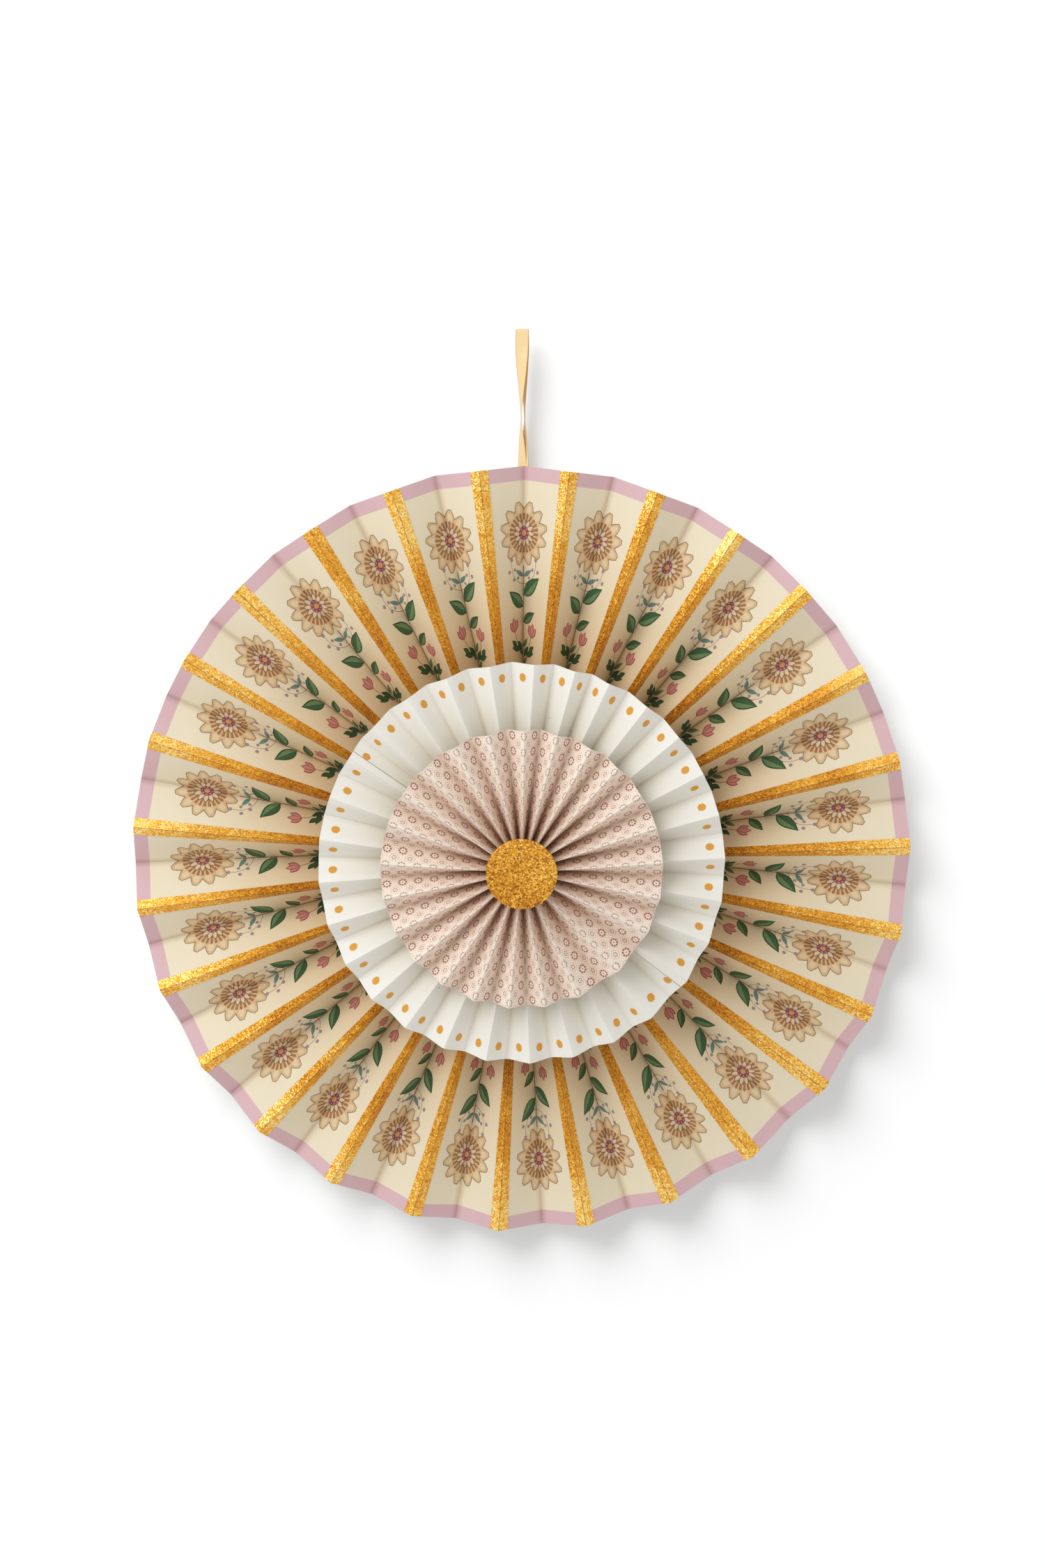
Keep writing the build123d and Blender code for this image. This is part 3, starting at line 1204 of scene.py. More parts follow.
@dataclass
class FoldTree:
    """Geometry Nodes tree that folds a flat cut into every trough of a fan."""

    pleats: Pleats
    inks: list[Material]
    softness: float = 0.0
    lift: float = 0.0
    rise: float = 0.35 * MM
    bow: float = 0.25 * MM
    weld: float = 0.002 * MM
    most_stretch: float = 8.0
    seed: int = 7

    def sizes(self) -> dict[str, float]:
        """Sizes that the tree's named inputs take."""
        return {
            "Panel Width": self.pleats.panel_width,
            "Radius": self.pleats.radius,
            "Middle": self.pleats.middle,
            "Slope": self.pleats.slope,
            "Thickness": self.pleats.thickness,
            "Softness": self.softness,
            "Lift": self.lift,
        }

    def places(self, only: Sequence[int] | None) -> Mesh:
        """Mesh of one point for each trough, with what is its own: its turn, span and unevenness.

        Args:
            only: Numbers of the troughs that get a point, or None for all.

        Returns:
            The mesh.
        """
        troughs = self.pleats.troughs()
        chance = Random(self.seed)
        rises = [chance.uniform(-self.rise, self.rise) for _ in troughs]
        bows = [chance.uniform(-self.bow, self.bow) for _ in troughs]
        chosen = range(len(troughs)) if only is None else only
        mesh = bpy.data.meshes.new("trough_places")
        mesh.from_pydata([(0, 0, 0)] * len(chosen), [], [])
        values = {
            "turn": [troughs[k][0] for k in chosen],
            "half": [troughs[k][1] for k in chosen],
            "rise_left": [rises[k] for k in chosen],
            "rise_right": [rises[(k + 1) % len(rises)] for k in chosen],
            "bow": [bows[k] for k in chosen],
        }
        for name, numbers in values.items():
            mesh.attributes.new(name, "FLOAT", "POINT").data.foreach_set("value", numbers)
        return mesh

    def tree(self) -> NodeTree:
        """Write the tree: instance the cut, realize it, fold it, weld its folds and give it its inks."""
        tree = new_tree("pleated_fan", {"Cut": "Object", **dict.fromkeys(self.sizes(), "Float")})
        recipe = Recipe(tree)
        given = recipe.add("NodeGroupInput").outputs
        cut = recipe.add("GeometryNodeObjectInfo", {"Object": given["Cut"]}).outputs["Geometry"]
        copies = recipe.step("GeometryNodeInstanceOnPoints", {"Points": given["Geometry"], "Instance": cut})
        flat = recipe.step("GeometryNodeRealizeInstances", {"Geometry": copies})
        place = self.folded_place(recipe, given)
        folded = recipe.step("GeometryNodeSetPosition", {"Geometry": flat, "Position": place})
        welding = {"Geometry": folded, "Distance": self.weld}
        shown = recipe.step("GeometryNodeMergeByDistance", welding)
        number = recipe.step("GeometryNodeInputNamedAttribute", {"Name": "ink"}, data_type="INT")
        for k, ink in enumerate(self.inks):
            same = {2: number, 3: k}
            chosen = recipe.step("FunctionNodeCompare", same, data_type="INT", operation="EQUAL")
            inputs = {"Geometry": shown, "Selection": chosen, "Material": ink}
            shown = recipe.step("GeometryNodeSetMaterial", inputs)
        recipe.add("NodeGroupOutput", {0: shown})
        return tree

    def folded_place(self, recipe: Recipe, given: object) -> NodeSocket:
        """Place of a flat point once it is folded.

        Args:
            recipe: The tree's recipe.
            given: The tree's named inputs.

        Returns:
            The socket with the place.
        """
        def own(name: str) -> Number:
            """A trough's own value."""
            return recipe.number(recipe.step("GeometryNodeInputNamedAttribute", {"Name": name}))

        width, radius, thickness = (recipe.number(given[n]) for n in ("Panel Width", "Radius", "Thickness"))
        across, outwards, _ = recipe.parts(recipe.step("GeometryNodeInputPosition"))
        side = across.work("SIGN")
        share = (across.size() / width).least(1.0)
        out_share = outwards / radius
        chord = outwards * (2 * math.sin(math.pi / len(self.pleats.folds) / 2))
        depth = (width * width - chord * chord).root()
        stretch = (width / chord).least(self.most_stretch)
        upright = (thickness * stretch).least(depth * 0.45)
        eased = share * share * (3.0 - share * 2.0)
        soft = recipe.number(given["Softness"]) * out_share
        rounded = share + (eased - share) * soft
        left, right = own("rise_left"), own("rise_right")
        rise = (left + right) * 0.5 + side * (right - left) * 0.5
        swell = own("bow") * share * (1.0 - share) * 4.0 * out_share
        height = (depth - upright) * rounded - depth * 0.5 + upright
        height = height + rise * share * out_share * out_share + swell
        height = height + recipe.number(given["Lift"]) * stretch
        turn, fold = own("turn"), own("turn") - side * own("half")
        flat_share = 1.0 - share
        x = outwards * (turn.work("COSINE") * flat_share + fold.work("COSINE") * share)
        z = outwards * (turn.work("SINE") * flat_share + fold.work("SINE") * share)
        y = recipe.number(given["Middle"]) + recipe.number(given["Slope"]) * outwards - height
        return recipe.step("ShaderNodeCombineXYZ", {0: x, 1: y, 2: z})

    def fold(self, cut: FlatCut, only: Sequence[int] | None = None) -> Mesh:
        """Fold a flat cut into the fan's troughs.

        Args:
            cut: The flat cut of one trough, from front fold to front fold.
            only: Numbers of the troughs that get it, or None for all.

        Returns:
            The folded sheet as a plain mesh, without thickness.
        """
        return grown(self.places(only), cut.name, self.tree(), {"Cut": cut.obj(), **self.sizes()})


def thickened(mesh: Mesh, name: str, thickness: float, back: Material) -> Mesh:
    """Give a folded sheet its thickness, with its own back and cut edge.

    Args:
        mesh: The sheet's front side.
        name: The finished mesh's name.
        thickness: The paper's thickness.
        back: Finish of its back and its edges.

    Returns:
        The finished mesh.
    """
    mesh.materials.append(back)
    obj = linked(name, mesh)
    shell = obj.modifiers.new("thickness", "SOLIDIFY")
    shell.thickness = thickness
    shell.offset = -1.0
    shell.material_offset = shell.material_offset_rim = len(mesh.materials)
    result = plain_mesh(obj, name)
    result.shade_smooth()
    result.set_sharp_from_angle(angle=math.radians(SHARP_FOLD))
    return result


def put(name: str, mesh: Mesh, slot: str, *nodes: str) -> Object:
    """Add a finished piece, hang it on the root body and hide the solids that it stands for.

    Args:
        name: The piece's name.
        mesh: Its mesh.
        slot: Not used.
        nodes: The solids that it stands for.

    Returns:
        The piece.
    """
    piece = linked(name, mesh)
    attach(piece, "root")
    if nodes:
        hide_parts(*nodes)
    log.info("%s: %d triangles", name, sum(len(p.vertices) - 2 for p in mesh.polygons))
    return piece


@dataclass
class Waist:
    """Pressed waist of a folded sheet, a plain block inside its tie."""

    pleats: Pleats
    tie: str
    thread: float = 0.95 * MM
    overlap: float = 0.4 * MM
    edge_line: float = 0.12 * MM

    def mesh(self, material: Material) -> Mesh:
        """Make the block, with a line where each panel's edge shows.

        Args:
            material: Finish of the pressed paper.

        Returns:
            The block.
        """
        low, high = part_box(self.tie)
        folds = self.pleats.folds
        reach, half = self.pleats.bore + self.overlap, len(folds) * self.pleats.thickness / 2
        angle = folds[len(folds) // 8]
        along = Vector((math.cos(angle), 0, math.sin(angle)))
        beside = Vector((-along.z, 0, along.x))
        build = bmesh.new()
        rings = []
        for k, step in enumerate(span(-half, half, len(folds))):
            inset = self.thread + (self.edge_line if k % 2 else 0.0)
            near, far = low.y + inset, high.y - inset
            corners = ((-reach, near), (reach, near), (reach, far), (-reach, far))
            places = [along * a + beside * step + Vector((0, y, 0)) for a, y in corners]
            rings.append([build.verts.new(place) for place in places])
        skin(build, rings)
        build.faces.new(rings[0])
        build.faces.new(rings[-1])
        return finished(build, self.pleats.node + "_waist", material)


@dataclass(frozen=True)
class Lap:
    """Lap at a sheet's two joins, by clock angle, in millimetres from the front fold on the flat sheet."""

    clocks: tuple
    end: float
    edge: float
    rows: int
    start: float = 0.2
    lift: float = 0.32 * MM


@dataclass
class Fan:
    """One folded sheet: its printed front, plain back, pressed waist and, where they show, its laps.

    Rows and columns of folded points give it its slight curves. Columns are shares of a panel's width, and
    back gives the name and the colour of the plain back.
    """

    name: str = ""
    slot: str = ""
    back: tuple = ("", "")
    softness: float = 0.1
    seed: int = 7
    rows: int = 26
    columns: tuple = (-0.85, -0.7, -0.5, -0.3, -0.15, 0, 0.15, 0.3, 0.5, 0.7, 0.85)
    lap: Lap | None = None

    def __post_init__(self) -> None:
        """Read the folds from the fan's solid."""
        self.node, self.tie = self.name + "_fan", self.name + "_tie"
        self.pleats = Pleats(self.node)

    def inks(self) -> list[Material]:
        """Finishes of the sheet's front, by their numbers on the flat cut. The lap's edge has the last."""
        raise NotImplementedError

    def fields(self, width: float, far: float) -> list[tuple[int, Outline]]:
        """Fields of print on one trough's flat cut, by the panel's width and the place of the rim.

        Args:
            width: The panel's width.
            far: The place of the rim.

        Returns:
            Ink number and outline of each.
        """
        return []

    def cut(self) -> FlatCut:
        """The flat cut of one trough."""
        width, near, far = self.pleats.flat()
        rows = span(near, far, self.rows)
        outline = rectangle(-width, width, near, far, rows)
        columns = [width * share for share in self.columns]
        return FlatCut(self.node + "_cut", [outline], self.fields(width, far), columns, rows)

    def lap_cut(self, ink: int) -> FlatCut:
        """The flat cut of a lap, with its edge in an ink of its own.

        Args:
            ink: Number of the edge's ink.

        Returns:
            The flat cut.
        """
        width, near, far = self.pleats.flat()
        rows = span(near, far, self.lap.rows)
        left, right = -width + self.lap.start, -width + self.lap.end
        outline = rectangle(left, right, near, far, rows)
        edge = rectangle(right - self.lap.edge, right, near, far)
        return FlatCut(self.node + "_lap", [outline], [(ink, edge)], [(left + right) / 2], rows)

    def build(self) -> None:
        """Fold, thicken and place the sheet."""
        inks, paper = self.inks(), self.pleats.thickness
        # The plain back gets the same wear, painted highlight and painted shade along its folds
        back = Paper(*self.back, self.pleats.panel_width, fold_rub_and_highlight=0.1).material()
        tree = FoldTree(self.pleats, inks, self.softness, seed=self.seed)
        meshes = [thickened(tree.fold(self.cut()), self.node + "_sheet", paper, back)]
        if self.lap:
            troughs = [self.pleats.trough_at(clock) for clock in self.lap.clocks]
            laps = replace(tree, lift=self.lap.lift).fold(self.lap_cut(len(inks) - 1), troughs)
            meshes.append(thickened(laps, self.node + "_laps", paper, back))
        meshes.append(Waist(self.pleats, self.tie).mesh(inks[0]))
        name = self.node + "_paper"
        put(name, joined(meshes, name), self.slot, self.node)


@dataclass
class OuterFan(Fan):
    """Cream sheet with a rose border and a flower spray on each back fold."""

    name: str = "outer"
    slot: str = "cream_paper"
    back: tuple = ("cream_paper_back", "ece6d8")
    columns: tuple = (-0.75, -0.5, -0.25, 0, 0.25, 0.5, 0.75)
    border: float = 7.2

    def inks(self) -> list[Material]:
        """One paper finish for each ink."""
        wide = self.pleats.panel_width
        # Painted warm shade where the sheet runs in under the middle fan, deepest in its troughs
        tones = {"tone": "f6e2c8", "shade_start": 0.165, "shade_full": 0.105}
        return [Paper("print_" + ink.name.lower(), ink.value, wide, **tones).material() for ink in Ink]

    def fields(self, width: float, far: float) -> list[tuple[int, Outline]]:
        """The rose border and the spray."""
        return [(1, rectangle(-width, width, far - self.border, far)), *FlowerSpray().fields()]


@dataclass
class GoldStrips:
    """Gold glitter strip over each front fold of the outer fan. Its wing and start are in millimetres."""

    pleats: Pleats = field(default_factory=lambda: Pleats("outer_fan"))
    wing: float = 5.35
    start: float = 64.0
    rows: int = 22
    thickness: float = 0.2 * MM
    film: float = 0.08 * MM

    def cut(self) -> FlatCut:
        """Half a strip along each edge of the trough."""
        width, _, far = self.pleats.flat()
        rows = span(self.start, far, self.rows)
        halves = [
            rectangle(left, left + self.wing, self.start, far, rows) for left in (-width, width - self.wing)
        ]
        columns = [-width + self.wing / 2, width - self.wing / 2]
        return FlatCut("gold_strip_cut", halves, [], columns, rows)

    def build(self) -> None:
        """Fold, thicken and place the strips."""
        # Painted sheen spots and painted light towards the rim on the strips
        gold = Glitter("gold_glitter_strip", fold_place=self.pleats.panel_width, rim_light=0.42).material()
        tree = FoldTree(self.pleats, [gold], softness=0.1, lift=self.film + self.thickness)
        strips = thickened(tree.fold(self.cut()), "gold_strip_set", self.thickness, gold)
        put("gold_strip_set", strips, "gold_glitter_paper", "gold_strips")


@dataclass
class MiddleFan(Fan):
    """White sheet with an ochre dot on each panel near the rim."""

    name: str = "middle"
    slot: str = "white_paper"
    back: tuple = ("white_paper_back", "eeeeea")
    softness: float = 0.5
    seed: int = 11
    rows: int = 18
    lap: Lap = Lap((130.5, 312.0), 5.5, 0.45, 14)
    dot: float = 4.5
    dot_inset: float = 7.2
    dot_points: int = 18
    dot_seed: int = 3

    def inks(self) -> list[Material]:
        """White paper, the dots' ochre and the lap's edge line, partly its cut edge and partly a painted
        shadow of its step.
        """
        # Wear and painted highlight on front folds, painted shade along back folds, faint painted warm shade
        # near the inner fan
        white = Paper(
            "white_paper", "f4f3ed", self.pleats.panel_width, roughness=0.48, fold_rub_and_highlight=0.12, crease_line_and_shade=0.14,
            valley_shade=0.13, tone="faf5ec", shade_start=0.1, shade_full=0.07, specks=0.03,
        )
        ochre = Paper("ochre_dot", "e2a23e", roughness=0.5)
        # The lap's dark edge line is partly its cut edge and partly painted shadow
        return [paper.material() for paper in (white, ochre, Paper("white_paper_edge", "a69c90"))]

    def fields(self, width: float, far: float) -> list[tuple[int, Outline]]:
        """A dot on each panel, cut a little unevenly.

        Args:
            width: The panel's width.
            far: The place of the rim.

        Returns:
            Ink number and outline of each.
        """
        chance = Random(self.dot_seed)
        dots = []
        for side in (-1, 1):
            outline = oval((0, 0), self.dot, 0.94 * self.dot, self.dot_points)
            uneven = [(x * chance.uniform(0.94, 1.05), y * chance.uniform(0.94, 1.05)) for x, y in outline]
            dots.append((1, placed(uneven, (side * width / 2, far - self.dot_inset), 0)))
        return dots


@dataclass
class InnerFan(Fan):
    """Rose sheet printed with a small lattice of florets."""

    name: str = "inner"
    slot: str = "rose_paper"
    back: tuple = ("rose_paper_back", "f1ebe4")
    softness: float = 0.4
    seed: int = 19
    rows: int = 16
    lap: Lap = Lap((121.5, 308.0), 5.0, 0.5, 12)

    def inks(self) -> list[Material]:
        """Lattice paper and the lap's edge."""
        # Wear and a wide painted highlight along front folds, painted shade down the troughs, deepest near
        # the waist
        rose = LatticePaper(
            "rose_lattice_paper", "fff3e4", self.pleats.panel_width, roughness=0.6, fold_rub_and_highlight=0.75,
            crease_line_and_shade=0.2, valley_shade=0.33, valley_shade_reach=7.0 * MM, crest_light=0.6, tone="dab699",
            shade_start=0.045, shade_full=0.016, trough_shade=0.95,
        )
        return [rose.material(), Paper("rose_paper_edge", "f3e2d0").material()]


@dataclass
class CentreDisc:
    """Card disc under dense gold glitter, with loose flakes set in it."""

    node: str = "centre_disc"
    sides: int = 96
    bevel: float = 0.22 * MM
    flake: float = 0.4 * MM
    flake_faces: tuple = (-0.05 * MM, 0.03 * MM)
    flake_sizes: tuple = (0.6, 1.15)
    flake_tilt: float = 24.0
    flakes_per_square_metre: float = 2.6e6
    tones: tuple = ((0.0, "7a410a"), (0.28, "b47016"), (0.55, "da9826"), (0.8, "f6bd40"), (1.0, "fff0a0"))
    seed: int = 5

    def body(self, gold: Material) -> Mesh:
        """The card, with a softly pressed edge.

        Args:
            gold: The glitter's material.

        Returns:
            The card as a closed mesh.
        """
        low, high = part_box(self.node)
        middle, radius = (low + high) / 2, (high.x - low.x) / 2
        profile = [
            (0.0, high.y), (radius - self.bevel, high.y), (radius, high.y - self.bevel),
            (radius, low.y + 2 * self.bevel), (radius - 0.6 * self.bevel, low.y + 0.5 * self.bevel),
            (radius - 2 * self.bevel, low.y), (0.6 * radius, low.y), (0.3 * radius, low.y), (0.0, low.y),
        ]
        build = bmesh.new()
        rings = []
        for reach, y in profile:
            angles = span(0, 2 * math.pi, self.sides)[:-1] if reach else [0.0]
            places = [(middle.x + reach * math.cos(a), y, middle.z + reach * math.sin(a)) for a in angles]
            rings.append([build.verts.new(place) for place in places])
        skin(build, rings)
        return finished(build, "centre_disc_card", gold, smooth=30)

    def flake_obj(self) -> Object:
        """One six-sided flake, a closed low plate."""
        build = bmesh.new()
        angles = [math.pi * k / 3 for k in range(6)]
        rings = [
            [build.verts.new((self.flake * math.cos(a), self.flake * math.sin(a), z)) for a in angles]
            for z in self.flake_faces
        ]
        build.faces.new(rings[1])
        build.faces.new(rings[0][::-1])
        skin(build, rings)
        return bpy.data.objects.new("glitter_flake", finished(build, "glitter_flake"))

    def tree(self, gold: Material) -> NodeTree:
        """Write the tree that scatters flakes over the disc's face.

        Args:
            gold: The glitter's material.

        Returns:
            The tree.
        """
        tree = new_tree("scattered_flakes", {"Flake": "Object", "Density": "Float", "Tilt": "Float"})
        recipe = Recipe(tree)
        given = recipe.add("NodeGroupInput").outputs
        facing = recipe.parts(recipe.step("GeometryNodeInputNormal"))[1].work("LESS_THAN", -0.9)
        spots = {"Mesh": given["Geometry"], "Selection": facing, "Density": given["Density"]}
        points = recipe.add("GeometryNodeDistributePointsOnFaces", {**spots, "Seed": self.seed})
        tilt = recipe.number(given["Tilt"])
        low = recipe.step("ShaderNodeCombineXYZ", {0: tilt * -1.0, 1: tilt * -1.0, 2: 0.0})
        high = recipe.step("ShaderNodeCombineXYZ", {0: tilt, 1: tilt, 2: 2 * math.pi})
        lean = {0: low, 1: high, "Seed": self.seed}
        turn = recipe.step("FunctionNodeRandomValue", lean, data_type="FLOAT_VECTOR")
        turned = {0: points.outputs["Rotation"], 1: turn}
        least, most = self.flake_sizes
        size = recipe.add("FunctionNodeRandomValue", {2: least, 3: most, "Seed": self.seed + 1})
        copies = {
            "Points": points.outputs[0],
            "Instance": recipe.add("GeometryNodeObjectInfo", {"Object": given["Flake"]}).outputs["Geometry"],
            "Rotation": recipe.step("FunctionNodeRotateRotation", turned, rotation_space="LOCAL"),
            "Scale": size.outputs[1],
        }
        flakes = recipe.step("GeometryNodeInstanceOnPoints", copies)
        real = recipe.step("GeometryNodeRealizeInstances", {"Geometry": flakes})
        shown = recipe.step("GeometryNodeSetMaterial", {"Geometry": real, "Material": gold})
        recipe.add("NodeGroupOutput", {0: shown})
        return tree

    def flakes(self, body: Mesh, gold: Material) -> Mesh:
        """Scatter the flakes over the card's face.

        Args:
            body: The card.
            gold: The glitter's material.

        Returns:
            The flakes as one mesh.
        """
        values = {
            "Flake": self.flake_obj(),
            "Density": self.flakes_per_square_metre,
            "Tilt": math.radians(self.flake_tilt),
        }
        return grown(body.copy(), "disc_flakes", self.tree(gold), values)

    def build(self) -> None:
        """Make and place the disc."""
        # The disc's glitter carries faint painted sheen in broad random spots
        gold = Glitter(
            "gold_glitter_disc", flake=0.7 * MM, tilt=0.42, metallic=0.6, sheen_patches=0.3,
            tones=self.tones,
        ).material()
        body = self.body(gold)
        whole = joined([body, self.flakes(body, gold)], "glitter_disc")
        put("glitter_disc", whole, "gold_glitter_card", self.node)


@dataclass
class HangingRibbon:
    """Satin ribbon loop, whose two strands turn edge-on and back above the rim.

    The route and the heights of the turns are in millimetres, and the turns in degrees.
    """

    width: float = 6.6 * MM
    thickness: float = 0.2 * MM
    thinner_edge: float = 0.5
    columns: int = 8
    route: tuple = (
        (-3.6, -1.35, 10), (-2.6, -1.4, 70), (-1.4, -1.4, 130), (-0.2, -1.5, 172), (0.7, -3.9, 200),
        (-0.4, -6.6, 224), (0.0, -11.2, 250), (0.3, -12.7, 265.6), (0.4, -12.7, 269.8),
        (0.4, -9.3, 269.8), (0.5, -9.3, 265.6), (0.7, -8.4, 250), (1.8, -6.8, 224), (1.5, -5.2, 200),
        (1.5, -4.4, 172), (2.2, -3.2, 130), (3.0, -2.2, 70), (3.6, -1.35, 10),
    )
    turns: tuple = (
        (269.8, 0), (262, 8), (252, 36), (240, 64), (230, 82), (223, 86), (210, 62), (200, 50), (176, 20),
    )
    lowest_turn: float = 180.0

    def line(self) -> list[Vector]:
        """Middle line of the ribbon, read from the route's smooth curve."""
        curve = bpy.data.curves.new("ribbon_route", "CURVE")
        curve.dimensions = "3D"
        curve.resolution_u = 14
        spline = curve.splines.new("NURBS")
        spline.points.add(len(self.route) - 1)
        for point, place in zip(spline.points, self.route):
            point.co = (*(k * MM for k in place), 1.0)
        spline.order_u = 3
        spline.use_endpoint_u = True
        return [v.co.copy() for v in plain_mesh(linked(curve.name, curve), "ribbon_line").vertices]

    def turn(self, height: float) -> float:
        """Turn of both strands about each other at a height, in radians.

        Args:
            height: Height in millimetres.

        Returns:
            The turn.
        """
        if height >= self.turns[0][0]:
            return 0.0
        for (high, first), (low, last) in zip(self.turns, self.turns[1:]):
            if height >= low:
                share = (high - height) / (high - low)
                return math.radians(first + (last - first) * share)
        return math.radians(self.lowest_turn)

    def mesh(self, line: list[Vector]) -> Mesh:
        """Make the flat ribbon, its edges a little thinner than its middle.

        Args:
            line: Its middle line.

        Returns:
            The ribbon, whose print map holds its share across and its place along.
        """
        build = bmesh.new()
        prints = build.loops.layers.uv.new(PRINT_MAP)
        shares = span(-1, 1, self.columns)
        outline = [*((share, 1) for share in shares), *((share, -1) for share in reversed(shares))]
        rings, marks, walked = [], {}, 0.0
        for before, place, after in zip([line[0], *line], line, [*line[1:], line[-1]]):
            walked += (place - before).length
            ahead = (after - before).normalized()
            angle = self.turn(place.z / MM)
            across = Vector((math.cos(angle), -math.sin(angle), 0))
            across = (across - ahead * across.dot(ahead)).normalized()
            out = ahead.cross(across)
            ring = []
            for share, side in outline:
                depth = side * self.thickness / 2 * (1 - self.thinner_edge * share**8)
                ring.append(build.verts.new(place + across * (share * self.width / 2) + out * depth))
                marks[ring[-1]] = (share, walked / MAP_UNIT)
            rings.append(ring)
        skin(build, rings)
        for ring in (rings[0], rings[-1]):
            for k in range(self.columns):
                build.faces.new((ring[k], ring[k + 1], ring[-2 - k], ring[-1 - k]))
        for face in build.faces:
            for loop in face.loops:
                loop[prints].uv = marks[loop.vert]
        satin = Satin("satin_ribbon", "ffe0a6", "cf9c54").material()
        return finished(build, "ribbon_loop", satin, smooth=50)

    def build(self) -> None:
        line = self.line()
        piece = put("ribbon_loop", self.mesh(line), "satin_ribbon", "hanging_ribbon")


@dataclass
class HiddenPieces:
    """Pads, ties, glue and card behind and between the fans, which stay as their solids."""

    def build(self) -> None:
        """Dress each solid."""
        finishes = {
            PlainFinish("plain_card", "e6e0d4", Weave.CARD, 0.7): ["back_disc"],
            PlainFinish("pad_foam", "efefea", Weave.FOAM, 0.8): ["lower_pad", "upper_pad", "disc_pad"],
            PlainFinish("dried_glue", "e6e0c8", Weave.GLUE, 0.35): ["back_pad"],
            PlainFinish("cotton_thread", "e9e4d8", Weave.THREAD, 0.75): [
                "outer_tie", "middle_tie", "inner_tie",
            ],
        }
        for finish, nodes in finishes.items():
            material = finish.material()
            for node in nodes:
                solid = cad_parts[node]
                solid.data.materials.clear()
                solid.data.materials.append(material)
                log.info("%s: dressed as %s", node, finish.name)


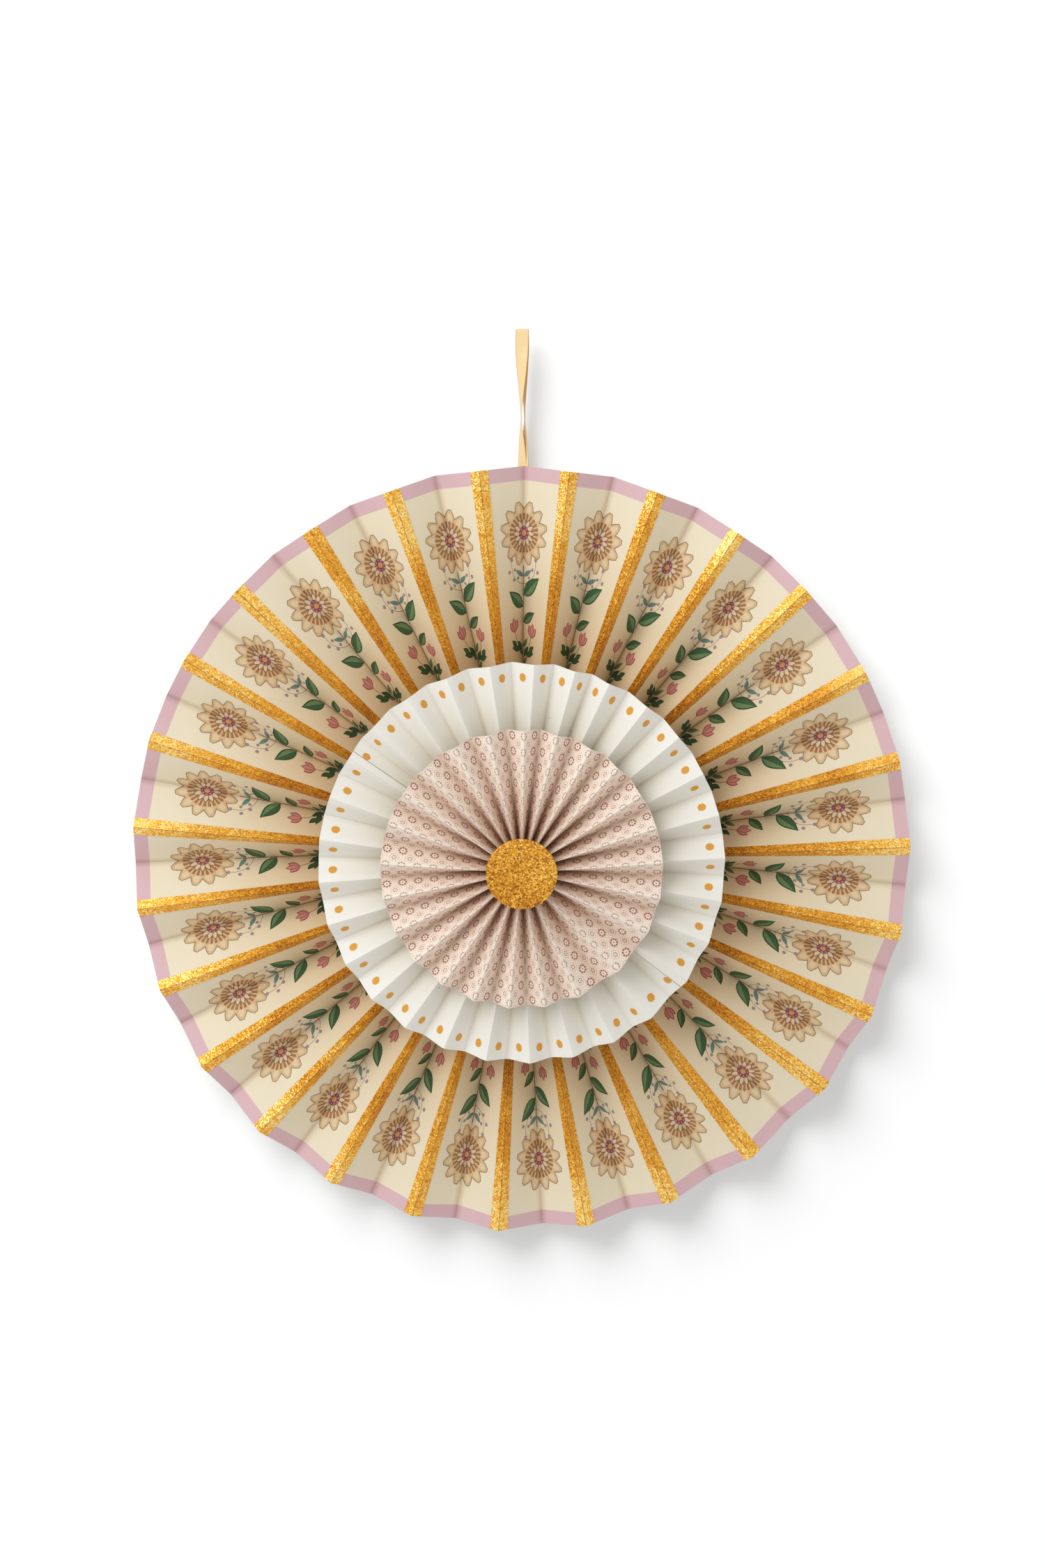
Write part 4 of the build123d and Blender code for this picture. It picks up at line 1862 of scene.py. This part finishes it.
@dataclass
class Studio:
    """Camera, wall and plain soft light. Angles are in degrees, and the focal length is in millimetres."""

    distance: float = 1.9
    rise: float = 12.0
    tilt: float = 8.48
    focal: float = 84.4
    down_shift: float = 0.1
    aside: float = 0.5 * MM
    lamp_place: tuple = (-1.0, -1.3, 0.95)
    lamp_size: float = 1.3
    lamp_power: float = 14.0
    fill: float = 0.66
    fill_tint: tuple = (1.0, 0.985, 0.96, 1.0)
    wall_paint: tuple = (0.445, 0.45, 0.455, 1.0)
    wall_glow: float = 0.31
    wall_half: float = 6.0
    wall_gap: float = 0.6 * MM
    sun_from: tuple = (-0.95, -1.0, 1.8)
    sun_width: float = 44.0
    sun_strength: float = 5.6

    def camera(self) -> None:
        """Camera at the photograph's angle: a little above the axis."""
        data = bpy.data.cameras.new("camera")
        data.lens = self.focal
        data.shift_y = -self.down_shift
        data.clip_end = 20.0
        camera = linked("camera", data)
        up = math.radians(self.rise)
        centre = Vector((self.aside, Pleats("outer_fan").middle, 0))
        camera.location = centre + self.distance * Vector((0, -math.cos(up), math.sin(up)))
        camera.rotation_euler = (math.radians(90 - self.tilt), 0, 0)
        bpy.context.scene.camera = camera

    def wall(self) -> None:
        """White wall just behind the back disc, which keeps the soft shadow and isn't seen from behind."""
        signs = ((-1, -1), (1, -1), (1, 1), (-1, 1))
        corners = [(self.wall_half * x, self.wall_gap, self.wall_half * z) for x, z in signs]
        mesh = bpy.data.meshes.new("wall")
        mesh.from_pydata(corners, [], [(0, 1, 2, 3)])
        mesh.materials.append(self.wall_material())
        wall = linked("wall", mesh)
        wall.visible_diffuse = False
        wall.visible_glossy = False
        wall.visible_transmission = False
        wall.visible_shadow = False
        self.wall_sun(wall)

    def wall_material(self) -> Material:
        """White paint with a faint glow, see-through from behind."""
        coat = Coat("wall_white")
        paint = coat.step("ShaderNodeBsdfDiffuse", {"Color": self.wall_paint})
        glow = coat.step("ShaderNodeEmission", {"Color": WHITE, "Strength": self.wall_glow})
        lit = coat.step("ShaderNodeAddShader", {0: paint, 1: glow})
        clear = coat.step("ShaderNodeBsdfTransparent")
        rear = coat.add("ShaderNodeNewGeometry").outputs["Backfacing"]
        shown = coat.step("ShaderNodeMixShader", {0: rear, 1: lit, 2: clear})
        coat.tree.nodes.remove(coat.shader)
        coat.feed(coat.surface, shown)
        return coat.material

    def lamp(self, data: bpy.types.Light, place: tuple) -> Object:
        """Hang a lamp at a place, aimed at the object's middle.

        Args:
            data: The lamp's light.
            place: Where it hangs.

        Returns:
            The lamp.
        """
        lamp = linked(data.name, data)
        lamp.location = place
        lamp.rotation_euler = (-Vector(place)).to_track_quat("-Z", "Y").to_euler()
        return lamp

    def wall_sun(self, wall: Object) -> None:
        """Wide soft sun on the wall alone, so that it is evenly white and keeps the fans' shadow."""
        data = bpy.data.lights.new("wall_sun", "SUN")
        data.energy = self.sun_strength
        data.angle = math.radians(self.sun_width)
        lit = bpy.data.collections.new("lit_by_wall_sun")
        lit.objects.link(wall)
        self.lamp(data, self.sun_from).light_linking.receiver_collection = lit

    def lights(self) -> None:
        """Large soft lamp from the upper left, and an even white room."""
        data = bpy.data.lights.new("soft_lamp", "AREA")
        data.shape = "DISK"
        data.size = self.lamp_size
        data.energy = self.lamp_power
        self.lamp(data, self.lamp_place)
        world = bpy.data.worlds.new("room")
        bpy.context.scene.world = world
        world.use_nodes = True
        recipe = Recipe(world.node_tree)
        recipe.tree.nodes.clear()
        path = recipe.add("ShaderNodeLightPath").outputs
        camera, glossy, through = (
            recipe.number(path[name]) for name in ("Is Camera Ray", "Is Glossy Ray", "Is Transmission Ray")
        )
        fill, white = (
            recipe.step("ShaderNodeBackground", {"Color": tint, "Strength": strength})
            for tint, strength in ((self.fill_tint, self.fill), (WHITE, 1.0))
        )
        room = recipe.step("ShaderNodeMixShader", {0: camera.most(glossy).most(through), 1: fill, 2: white})
        recipe.add("ShaderNodeOutputWorld", {"Surface": room})

    def build(self) -> None:
        """Set up the studio."""
        bpy.context.scene.view_settings.view_transform = "Standard"
        self.camera()
        self.wall()
        self.lights()


def main() -> None:
    """Build the studio and every piece, in order."""
    logging.basicConfig(level=logging.INFO, format="%(name)s %(message)s")
    sheets = (OuterFan, GoldStrips, MiddleFan, InnerFan)
    for kind in (Studio, HangingRibbon, *sheets, CentreDisc, HiddenPieces):
        kind().build()
        log.info("%s done", kind.__name__)


if __name__ == "__main__":
    main()
